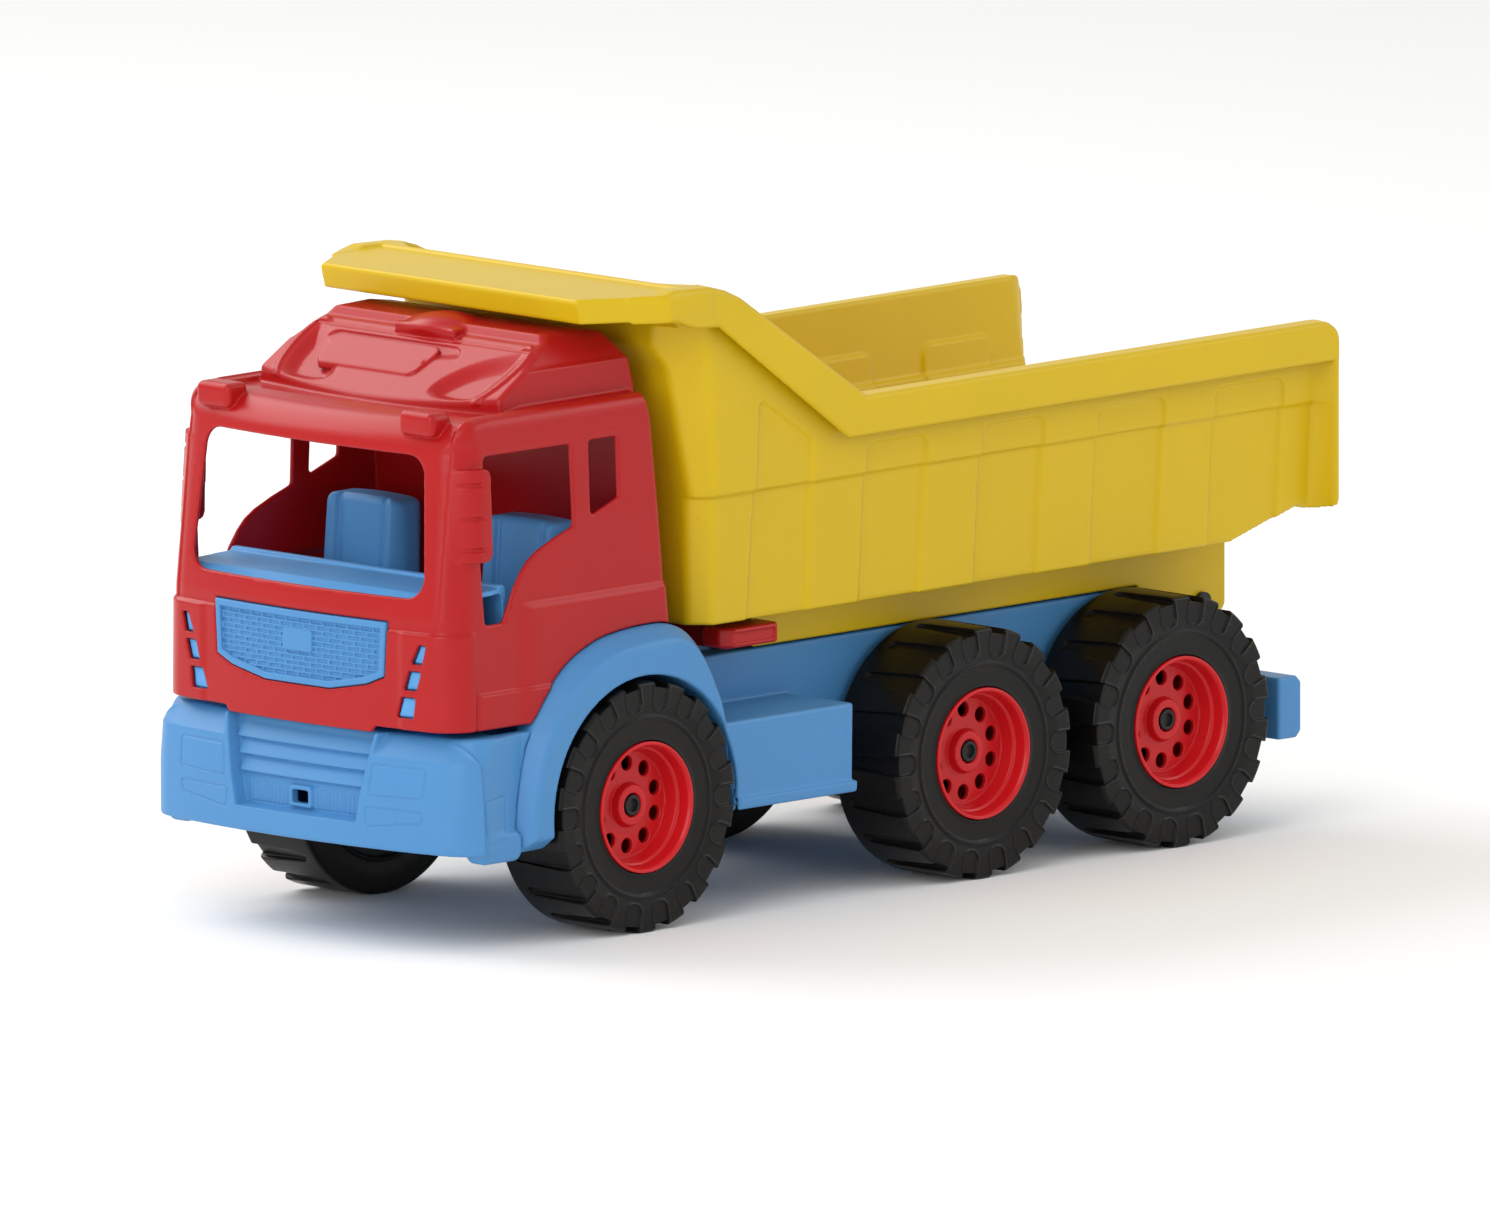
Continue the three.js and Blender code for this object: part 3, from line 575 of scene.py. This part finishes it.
def cab_side(m):
    """How far out the cab's side stands: it steps in over the belt and out again at the foot."""
    skin = table(m.z, (103, 95.6), (110, 95.6), (153, 94.8), (200, 93.6), (250, 91.6), (262, 91))
    belt = 1.3 * (1 - ramp(m.z, CAB_BELT_Z - 1.6, CAB_BELT_Z + 1.6)) * (1 - ramp(m.x, 236, 250))
    foot = 1.2 * (1 - ramp(m.z, 122.6, 124.6)) * ramp(m.x, 224, 228) * (1 - ramp(m.x, 273.6, 275))
    return skin + belt + foot + lower_corner(m) * ramp(m.x, 275.6, 277)


def lower_corner(m):
    """The small step of the panel that wraps the corner below the windscreen."""
    return 1.0 * (1 - ramp(m.z, 152.5, 153.9))


def cab_body(m):
    """The cab without its roof cap, as a filled shape."""
    front = m.x - cab_front(m) - lower_corner(m) * ramp(m.y, 62, 67)
    top = m.z - table(m.x, (143, 255.5), (262, 255.6), (276, 254.2), (288, 251.5))
    mask = 1.1 * (1 - ramp(m.y, 84.6, 85.8))
    front = front + mask * ramp(m.z, 152.8, 154.2)
    top = top + mask * ramp(m.x, 152, 160)
    top = top + 2.6 * (1 - ramp(m.y, 79, 81)) * ramp(m.x, 228, 240) * (1 - ramp(m.x, 262, 266))
    rear = table(m.z, (103, 143.2), (142, 143.2), (165, 145.6), (244, 151.8), (255, 154.2)) - m.x
    corner_r = 6.5 + 8.5 * ramp(-top, 1, 14)
    return cross(cross(cross(front, top, 11), m.y - cab_side(m), corner_r), rear, 3.5)


def cut_windows(m, shell):
    """The windscreen and the two windows on each side."""
    shell = carve(shell, np.maximum(outline(m.y, m.z, windscreen, 10), 262 - m.x), 1.2)
    shell = carve(shell, np.maximum(outline(m.x, m.z, door_window, 2.2), 80 - m.y), 1.5)
    shell = carve(shell, np.maximum(outline(m.x, m.z, quarter_window, 1.8), 80 - m.y), 1.5)
    return shell


def make_cab():
    m = Mould((140, 0, 101), (302, 101, 291), 0.7)
    body = cab_body(m)
    outside = join(join(body, roof_cap(m), 1.6), beacon(m), 1.0)
    shell = carve(outside, outside + CAB_WALL)
    markers = box(m, (274, 288.2), (55.5, 77.5), (246, 257.8), 3.2)
    shell = join(shell, np.maximum(markers, -body - CAB_WALL), 0.6)
    shell = cut_windows(m, shell)
    shell = join(shell, door_deflector(m, body), 0.5)
    shell = carve(shell, np.maximum(outline(m.y, m.z, inset(grille_outline, -0.4)), 270 - m.x), 0.7)
    for slot in lamp_slots:
        shell = carve(shell, np.maximum(outline(m.y, m.z, slot, 0.8), 270 - m.x), 0.6)
    floor_z = table(m.y, (46.5, 103.6), (49, 106.6))
    shell = cross(shell, floor_z - m.z, 0.9)
    shell = carve(shell, np.maximum(guard_field(m) - 0.5, 60 - m.y), 0.5)
    deck = np.maximum(np.maximum(m.x - 262.6, m.y - FRAME_Y - 0.5), m.z - DECK_Z - 0.5)
    m, shell = m.unfold(carve(shell, deck))
    return mesh_from("cab_shell", m, add_hatch(m, shell))


settle("cab_shell_moulding", make_cab(), TRUCK, "red_plastic", red_plastic, "cab_shell")

# ------------------------------------------------------------------ grille
# A blue insert pushed into the cab's face from behind: a raised border round a mesh of staggered
# bars, with a blank badge plate in the middle.

ROW_PITCH, COLUMN_PITCH = 2.6, 7.9
MESH_Z = 125.2


def make_grille():
    m = Mould((286, 0, 119), (301, 60, 160), 0.35)
    edge = outline(m.y, m.z, grille_outline)
    face = m.x - cab_front(m)
    border = cross(cross(edge, -3.4 - edge), face - 0.3, 0.9)
    row = np.floor((m.z - MESH_Z) / ROW_PITCH)
    rows = np.abs(np.mod(m.z - MESH_Z, ROW_PITCH) - ROW_PITCH / 2)
    stagger = COLUMN_PITCH / 2 * np.mod(row, 2)
    columns = np.abs(np.mod(m.y + stagger, COLUMN_PITCH) - COLUMN_PITCH / 2)
    bars = np.maximum(np.maximum(np.minimum(0.75 - rows, 3.4 - columns), face + 1.2), edge + 2)
    back = np.maximum(np.maximum(face + 2.0, edge + 1), -(face + 5.2))
    badge = outline(m.y, m.z, [(-9.6, 137.6), (9.6, 137.6), (9.6, 148.4), (-9.6, 148.4)], 1.5)
    badge = cross(badge, face + 0.3, 0.8)
    grille = np.minimum(np.minimum(border, bars), np.minimum(back, badge))
    flange = np.maximum(np.maximum(edge - 1.4, face + 3.4), -(face + 5.2))
    return mesh_from("grille", m, np.maximum(np.minimum(grille, flange), -(face + 5.2)), adapt=0.01)


settle("grille_moulding", make_grille(), TRUCK, "blue_plastic", blue_plastic, "grille_insert")

# ------------------------------------------------------------------ cab interior
# The blue tub inside the cab, one moulding in the frame's blue: floor, dashboard, two seat backs
# and the lamp lenses that fill the slots in the cab's face. Four bosses take its screws. Its colour
# is that blue painted brighter, as painted light in the shade inside the cab.

def seat_back(m):
    lean = 0.07 * (m.z - 140)
    half = 26.5 - 0.055 * (m.z - 140)
    across = np.abs(m.y - 52)
    wings = 2.4 * ramp(across, 13, 21)
    front = m.x + lean - 204.5 - wings + 5.5 * ramp(across, 20, 27)
    groove = 1.3 * (1 - ramp(np.abs(across - 14.5), 0.6, 2.0))
    back = cross(cross(front + groove, 186 - m.x - lean, 3), across - half, 5)
    top = m.z - 196 + 0.002 * across * across
    return cross(cross(back, top, 4), 127 - m.z)


def make_interior():
    m = Mould((149, 0, 108), (297, 89.5, 198), 0.8)
    floor_plate = box(m, (150, 268), (-20, 88), (126.5, 129), 0.6)
    dash_line = [
        (248, 127), (248, 172), (249.2, 173.4), (252.6, 173.4), (253.6, 171.6), (284, 170.6), (291, 167),
        (294, 160), (294, 109.5), (291.4, 109.5), (291.4, 158), (288, 164.6), (283, 167.9), (252, 169),
        (250.5, 167), (250.5, 127),
    ]
    behind_skin = cross(m.x - cab_front(m) + 3.2, m.y - 89.2 + 0.02 * (m.z - 110), 12)
    dash = np.maximum(outline(m.x, m.z, dash_line), behind_skin)
    tie = np.maximum(box(m, (250, 292), (-20, 88), (126.5, 129)), behind_skin)
    lamps = np.maximum(box(m, (279, 296), (58, 86), (109, 151), 0.8), behind_skin)
    for slot in lamp_slots:
        lens = cross(outline(m.y, m.z, inset(slot, 0.35)), m.x - cab_front(m) + 1.0, 0.4)
        lamps = np.minimum(lamps, np.maximum(lens, 284 - m.x))
    tub = np.minimum(np.minimum(floor_plate, dash), np.minimum(tie, lamps))
    tub = join(tub, seat_back(m), 1.5)
    for x, y in SCREWS:
        boss = np.sqrt((m.x - x) ** 2 + (m.y - y) ** 2)
        tub = np.minimum(tub, cross(boss - 4, slab(m.z, DECK_Z + 0.4, 128)))
        tub = carve(tub, np.maximum(boss - SCREW_R, m.z - 129.5))
    return mesh_from("cab_interior", m, np.maximum(tub, DECK_Z + 0.4 - m.z - 20 * ramp(m.x, 262, 263)))


# The frame's blue made about 1.4 times brighter: painted light standing in for light inside the cab.
BLUE_PAINTED_BRIGHTER = (0.096, 0.335, 0.70)
blue_plastic_with_painted_light = moulded_plastic("cab_blue_painted_light", BLUE_PAINTED_BRIGHTER, roughness=0.4)
settle("cab_interior_moulding", make_interior(), TRUCK, "blue_plastic", blue_plastic_with_painted_light, "cab_interior")

# ------------------------------------------------------------------ dump bed
# One thin yellow moulding, open at the tail, with a turned-down lip round the rim and a
# canopy that reaches over the cab. It hangs on the hinge pin by two rails under its floor.

YELLOW = (0.635, 0.43, 0.003)
yellow_plastic = moulded_plastic("yellow_plastic", YELLOW, roughness=0.36)

BED_WALL = 2.5
CREASE_Z = 200.5
RIM_Z = 240.5
LIP_Y = 106.75
LIP_DROP = 19.0
TAIL_X = -301.6
CANOPY_Z = 303.0
RAIL_Y = (62.6, 65.0)
FLOOR_RIBS_X = (30, -60, -150, -225)
bed_side = [
    (119.5, 138.5), (-244.5, 138.5), (-287, 151.2), (-293, 149.2), (TAIL_X, 149.2), (TAIL_X, 320),
    (141, 320), (141, 274), (135.5, 264), (123.5, 200.5),
]
bed_floor = [
    (117, 138.5 + BED_WALL), (-245, 138.5 + BED_WALL), (-320, 163.2), (-320, 340), (128.5, 340),
    (128.5, 320), (138.5, 300.3), (138.5, 275), (133, 264.5), (121, 200.5),
]
rim_top = [
    (TAIL_X, RIM_Z), (20.5, RIM_Z), (106, 296.5), (116, 301), (127, 304), (152, 305), (159, CANOPY_Z),
    (200, CANOPY_Z), (200, 100), (TAIL_X, 100),
]
lip_bottom = [
    (TAIL_X - 5, RIM_Z - LIP_DROP - 0.7), (32.3, RIM_Z - LIP_DROP - 0.7), (121, 283.8), (136.5, 284.8),
    (150, 289.3), (200, 291), (200, 100), (TAIL_X - 5, 100),
]
canopy_plan = [(129, 107), (157.5, 107), (196, 84), (196, -30), (129, -30)]
WIDE_PANELS = [(11.5, -30), (-67, -110), (-146, -192), (-226, -273)]


def bed_half_width(m):
    """Outside and inside of the wall: it leans out, steps in below the crease and flares at the tail."""
    width = table(m.z, (138.5, 94.0), (CREASE_Z, 97.6), (RIM_Z, 98.8), (305, 99.5))
    sunk = 2.2 * (1 - ramp(m.z, CREASE_Z - 1.1, CREASE_Z + 1.1))
    for front, rear in WIDE_PANELS:
        panel = outline(m.x, m.z, [(front, 130), (rear, 130), (rear, 215.5), (front, 215.5)], 6)
        sunk = sunk + 1.6 * (1 - ramp(panel, -1.1, 0.3))
    slanted = outline(m.x, m.z, [(88, 130), (46.5, 130), (48, 221), (86, 246)], 3)
    sunk = sunk + 1.5 * (1 - ramp(slanted, -1.1, 0.3))
    turn = table(m.z, (195, 6.0), (RIM_Z, 12.0))
    flare = np.clip((TAIL_X + 2.2 + turn - m.x) / turn, 0, 1)
    outer = width - sunk * (1 - flare) + (LIP_Y - width) * flare * flare
    steep = 2 * (LIP_Y - width) / turn * flare
    return outer, outer - BED_WALL * np.sqrt(1 + steep * steep)


def corner_plane(m, setback):
    """The slanting face between the front wall and the side wall."""
    return (m.x + m.y - (214.5 - setback) - 0.12 * (m.z - 138.5)) * np.float32(0.7071)


def rounded_tail(m):
    """The round corners at the top and the foot of the open tail."""
    top = [(TAIL_X, 130), (TAIL_X, RIM_Z), (20.5, RIM_Z), (210, 380), (210, 130)]
    foot = [(TAIL_X, 149.2), (TAIL_X, 300), (-150, 300), (-150, 149.2)]
    rounded = outline(m.x, m.z, top, 11)
    return np.where(m.x < -285, np.maximum(rounded, outline(m.x, m.z, foot, 7)), rounded)


def bed_tub(m, under_rim, tail, wall_y, inside_y):
    """The walls and the floor, and the hollow that was cut from them."""
    under_crease = 2.0 * (1 - ramp(m.z, CREASE_Z - 0.9, CREASE_Z + 0.9))
    chamfer = corner_plane(m, 9) + under_crease
    side = outline(m.x, m.z, bed_side, 1.2)
    outside = cross(cross(side, m.y - wall_y, 1.2), np.where(m.z < 285, chamfer, chamfer - 60), 2.0)
    inner_chamfer = corner_plane(m, 12.4) + under_crease + 0.6
    hollow = cross(cross(outline(m.x, m.z, bed_floor), m.y - inside_y, 3.0), inner_chamfer, 3.0)
    return carve(cross(outside, np.maximum(under_rim, tail), 1.1), hollow, 1.1), hollow


def bed_lip(m, under_rim, tail, wall_y):
    """The lip turned down round the rim, hollow behind."""
    band = carve(under_rim, outline(m.x, m.z, lip_bottom), 0.9)
    lip = cross(cross(cross(band, tail), m.y - LIP_Y, 2.2), 97 - m.y)
    hollow = cross(cross(under_rim + BED_WALL, slab(m.y, 96.0, LIP_Y - BED_WALL)), m.x - 150)
    hollow = np.maximum(np.maximum(hollow, wall_y - 0.6 - m.y), (TAIL_X + 3) - m.x)
    lip_plan = [(-400, 107), (157, 107), (196, 85), (196, -30), (-400, -30)]
    return np.maximum(carve(lip, hollow, 0.8), outline(m.x + 0.25 * (CANOPY_Z - m.z), m.y, lip_plan))


def bed_canopy(m):
    """The canopy over the cab, a shallow upside-down tray."""
    plan = outline(m.x + 0.25 * (CANOPY_Z - m.z), m.y, canopy_plan)
    top = m.z - CANOPY_Z
    canopy = cross(cross(plan, top, 2.4), 290.8 - m.z, 1.0)
    under = cross(plan + BED_WALL, top + BED_WALL, 1.5)
    return carve(canopy, np.maximum(under, 131 - m.x), 0.8)


def bed_rail(m):
    """The rail under one side of the floor, with the hinge lug at its tail end."""
    rail_side = [
        (56, 119), (56, 142), (-267, 148), (-267, 104), (-262, 98), (-240, 98), (-214, 107), (-206, 119),
    ]
    rail = cross(outline(m.x, m.z, rail_side, 2.0), slab(m.y, *RAIL_Y), 0.8)
    return np.maximum(carve(rail, round_hole(m, PIVOT_X, PIVOT_Z), 0.5), m.z - 141)


def make_bed():
    m = Mould((-306, 0, 96), (200, 110, 308), 1.0)
    wall_y, inside_y = bed_half_width(m)
    under_rim = outline(m.x, m.z, rim_top)
    tail = rounded_tail(m)
    tub, hollow = bed_tub(m, under_rim, tail, wall_y, inside_y)
    bed = np.maximum(join(tub, bed_lip(m, under_rim, tail, wall_y), 1.0), m.x - 210)
    bed = join(bed, bed_canopy(m), 1.5)
    bed = carve(bed, np.maximum(hollow, m.x - 129.5), 1.1)
    bed = join(bed, bed_rail(m), 1.0)
    for at in FLOOR_RIBS_X:
        bed = np.minimum(bed, box(m, (at, at + BED_WALL), (-20, 63), (119.3, 141)))
    return mesh_from("dump_bed", m, bed)


settle("dump_bed_moulding", make_bed(), BED, "yellow_plastic", yellow_plastic, "dump_bed")

# ------------------------------------------------------------------ bed latch
# A red moulded bar under the front of the bed with a grip at each end. It lies in two saddles
# on the frame and slides from side to side in them.

def make_latch():
    m = Mould((58, 0, 120), (99, 89.5, 136), 0.5)
    bar = box(m, (72, 84), (-20, 74), (122, 132), 0.8)
    grip_plan = [(60, 71), (97, 71), (97, 82.5), (91.5, 88), (63, 88), (60, 85)]
    grip = cross(outline(m.x, m.y, grip_plan, 1.8), slab(m.z, 125, 134.4), 1.6)
    thumb = cross(outline(m.x, m.z, [(64, 127.4), (93, 127.4), (93, 132.2), (64, 132.2)], 1.5), 87 - m.y)
    return mesh_from("bed_latch", m, carve(join(bar, grip, 1.2), thumb, 0.5))


settle("bed_latch_moulding", make_latch(), LATCH, "red_plastic", red_plastic, "bed_latch")

# ------------------------------------------------------------------ axles, screws and hinge pin
# Plain steel rods, pan-head screws and a black moulded hinge pin. Their solids are already the
# right shape, so they only get their surfaces here.

def drawn_steel():
    material = bpy.data.materials.new("drawn_steel")
    material.use_nodes = True
    tree = material.node_tree
    shader = tree.nodes["Principled BSDF"]
    place = node(tree, "ShaderNodeTexCoord").outputs["Object"]
    lines = node(tree, "ShaderNodeMapping", {"Vector": place})
    lines.inputs["Scale"].default_value = (1, 0.04, 1)
    draw = node(tree, "ShaderNodeTexNoise", {"Vector": lines.outputs[0]}, Scale=2600.0, Detail=3.0)
    rough = node(tree, "ShaderNodeMapRange", {"Value": draw.outputs["Fac"]}, To_Min=0.22, To_Max=0.42)
    relief = node(tree, "ShaderNodeBump", {"Height": draw.outputs["Fac"]}, Distance=0.00002, Strength=0.5)
    tree.links.new(rough.outputs[0], shader.inputs["Roughness"])
    tree.links.new(relief.outputs[0], shader.inputs["Normal"])
    shader.inputs["Base Color"].default_value = (0.55, 0.56, 0.58, 1)
    shader.inputs["Metallic"].default_value = 1.0
    return material


steel = drawn_steel()
cap_black = moulded_plastic("black_plastic", (0.012, 0.012, 0.012), roughness=0.4)
bare = {name: steel for name in ("axle_front", "axle_middle", "axle_rear")}
bare.update({f"cab_screw_{i}": steel for i in (1, 2, 3, 4)})
bare["bed_hinge_pin"] = cap_black
for name, material in bare.items():
    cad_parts[name].data.materials.clear()
    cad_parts[name].data.materials.append(material)

# ------------------------------------------------------------------ wheels
# Six alike. A hollow black tyre with deep cross lugs and a closed back, a dished red rim with ten
# holes pressed into it, and a black cap pushed on the end of the axle.

TYRE_R = 60.0
LUGS = 18
GROOVE_HALF = 4.7
RIM_HOLES = 10
WHEEL_Y = 86.3
TYRE_BLACK = (0.0062, 0.0056, 0.005)
tyre_black = moulded_plastic("tyre_plastic", TYRE_BLACK, roughness=0.3, shine=0.2)
rim_red = moulded_plastic("rim_plastic", (0.56, 0.009, 0.013), roughness=0.26)


def polar(m):
    return np.sqrt(m.x * m.x + m.z * m.z), np.arctan2(m.z, m.x)


def lug_grooves(m, radius, angle):
    """Eighteen grooves across the tread that turn down the outer shoulder and end in a U."""
    pitch = 2 * np.pi / LUGS
    arc = (np.mod(angle + pitch / 2, pitch) - pitch / 2) * radius
    narrowing = 1.6 * ramp(-m.y, -18, 12)
    tread_end = np.sqrt(arc * arc + np.minimum(m.y + 10, 0) ** 2) - GROOVE_HALF + narrowing
    tread = cross(tread_end, 57.2 - radius + 0.04 * (18 - m.y), 0.5)
    side_end = np.sqrt(arc * arc + np.minimum(radius - 51.2, 0) ** 2) - GROOVE_HALF
    return tread, side_end


def make_tyre():
    m = Mould((-61, -22, -61), (61, 22, 61), 0.45, mirrored=False)
    radius, angle = polar(m)
    flank = table(
        radius, (31, 20.2), (34, 19.6), (41.6, 19.9), (42.4, 20.7), (43.4, 20.7), (44.2, 19.9), (45, 20.0),
        (50, 20.6), (61, 20.6),
    )
    tread, pocket = lug_grooves(m, radius, angle)
    bead = 0.4 * (1 - ramp(np.abs(pocket - 0.5), 0.2, 0.8)) * ramp(m.y, 10, 12)
    bead = bead * ramp(radius, 45, 47) * (1 - ramp(radius, 58, 59.2))
    tyre = cross(radius - TYRE_R, np.abs(m.y) - flank, 1.8) - bead
    tyre = carve(tyre, tread, 0.35)
    tyre = carve(tyre, np.maximum(pocket, 19.9 - m.y), 0.3)
    seat = np.maximum(radius - 31.75, -18.6 - m.y)
    tyre = carve(tyre, seat, 0.8)
    return mesh_from("tyre", m, carve(tyre, radius - 8.0, 0.4))


def make_rim():
    m = Mould((-32, -21.4, -32), (32, 21.4, 32), 0.42, mirrored=False)
    radius, angle = polar(m)
    section = [
        (3.45, -20.6), (7.5, -20.6), (7.5, 4.4), (29.2, 4.4), (29.2, -18), (31.4, -18), (31.4, 20.7),
        (30, 20.7), (29, 19.2), (28.5, 13.9), (27.2, 13.2), (26.3, 10.2), (25.3, 7.1), (10.8, 7.1),
        (9.6, 10.9), (6.3, 11.1), (5.6, 10.4), (5.6, 7.5), (3.45, 7.5),
    ]
    rim = outline(radius, m.y, section)
    pitch = 2 * np.pi / RIM_HOLES
    off = np.mod(angle, pitch) - pitch / 2
    hole = np.sqrt((radius * np.cos(off) - 19.9) ** 2 + (radius * np.sin(off)) ** 2) - 3.55
    rim = carve(rim, hole, 0.55)
    return mesh_from("rim", m, rim, adapt=0.01)


def make_hub_cap():
    m = Mould((-6, 7, -6), (6, 12, 6), 0.22, mirrored=False)
    radius, _ = polar(m)
    dish = cross(radius - 3.1, 9.4 - m.y, 0.3)
    cap = carve(cross(radius - 5.0, slab(m.y, 7.7, 11.3), 0.7), dish, 0.5)
    return mesh_from("hub_cap", m, cap, adapt=0.01)


tyre_mesh, rim_mesh, cap_mesh = make_tyre(), make_rim(), make_hub_cap()
for axle, x in (("front", FRONT_AXLE_X), ("middle", MIDDLE_AXLE_X), ("rear", REAR_AXLE_X)):
    for side, sign in (("left", 1), ("right", -1)):
        spot = {"place": (x, sign * WHEEL_Y, AXLE_Z), "turn": 0.0 if sign > 0 else math.pi}
        where = f"{axle}_{side}"
        body = f"wheel_{where}"
        settle(f"tyre_moulding_{where}", tyre_mesh, body, "tyre_plastic", tyre_black, f"tyre_{where}", **spot)
        settle(f"rim_moulding_{where}", rim_mesh, body, "rim_plastic", rim_red, f"rim_{where}", **spot)
        settle(f"axle_cap_{where}", cap_mesh, TRUCK, "black_plastic", cap_black, f"hub_cap_{where}", **spot)

# ------------------------------------------------------------------ floor, light and camera
# A plain pale paper floor that runs out of sight, four soft boxes round the truck and an even
# white sky. The camera sees without perspective, from the front left and a little above.

FLOOR_SIZE = 30.0
floor_mesh = bpy.data.meshes.new("floor")
half = FLOOR_SIZE / 2
floor_corners = [(-half, -half, 0), (half, -half, 0), (half, half, 0), (-half, half, 0)]
floor_mesh.from_pydata(floor_corners, [], [(0, 1, 2, 3)])
floor = bpy.data.objects.new("floor", floor_mesh)
bpy.context.scene.collection.objects.link(floor)
paper = bpy.data.materials.new("pale_paper")
paper.use_nodes = True
paper_shader = paper.node_tree.nodes["Principled BSDF"]
paper_shader.inputs["Base Color"].default_value = (0.97, 0.965, 0.955, 1)
paper_shader.inputs["Roughness"].default_value = 0.9
floor_mesh.materials.append(paper)

world = bpy.data.worlds.new("studio")
bpy.context.scene.world = world
world.use_nodes = True
sky = world.node_tree.nodes["Background"]
sky.inputs["Color"].default_value = (1, 1, 1, 1)
sky.inputs["Strength"].default_value = 0.76


def soft_box(name, position, target, size, power):
    light = bpy.data.lights.new(name, "AREA")
    light.shape = "RECTANGLE"
    light.size, light.size_y = size
    light.energy = power
    lamp = bpy.data.objects.new(name, light)
    lamp.location = position
    lamp.rotation_euler = (Vector(target) - Vector(position)).to_track_quat("-Z", "Y").to_euler()
    lamp.visible_camera = False
    bpy.context.scene.collection.objects.link(lamp)


soft_box("key", (2.3, 1.0, 1.9), (0.1, 0, 0.1), (1.5, 1.5), 19)
soft_box("front", (2.9, 0.9, 0.75), (0.1, 0, 0.15), (1.4, 0.9), 13)
soft_box("top", (0.5, -1.95, 1.8), (0, 0, 0.1), (2.4, 1.5), 38)
soft_box("side", (-2.0, 1.7, 1.2), (0, 0, 0.1), (1.3, 1.3), 10)
bpy.context.scene.view_settings.view_transform = "Standard"

AZIMUTH, ELEVATION = math.radians(43.9), math.radians(8.85)
CAMERA_DISTANCE = 3.0
VIEW_WIDTH = 0.7045
AIM_RIGHT, AIM_UP = 0.12307, 0.08501
camera_data = bpy.data.cameras.new("camera")
camera_data.type = "ORTHO"
camera_data.ortho_scale = VIEW_WIDTH
camera_data.clip_start = 0.05
camera_data.clip_end = 60
camera = bpy.data.objects.new("camera", camera_data)
toward = Vector((
    math.cos(ELEVATION) * math.cos(AZIMUTH),
    math.cos(ELEVATION) * math.sin(AZIMUTH),
    math.sin(ELEVATION),
))
right = Vector((-math.sin(AZIMUTH), math.cos(AZIMUTH), 0))
up = toward.cross(right)
front_axle = Vector((FRONT_AXLE_X, 0, AXLE_Z)) * MM
aim = front_axle + right * AIM_RIGHT + up * AIM_UP
camera.location = aim + toward * CAMERA_DISTANCE
camera.rotation_euler = (-toward).to_track_quat("-Z", "Y").to_euler()
bpy.context.scene.collection.objects.link(camera)
bpy.context.scene.camera = camera
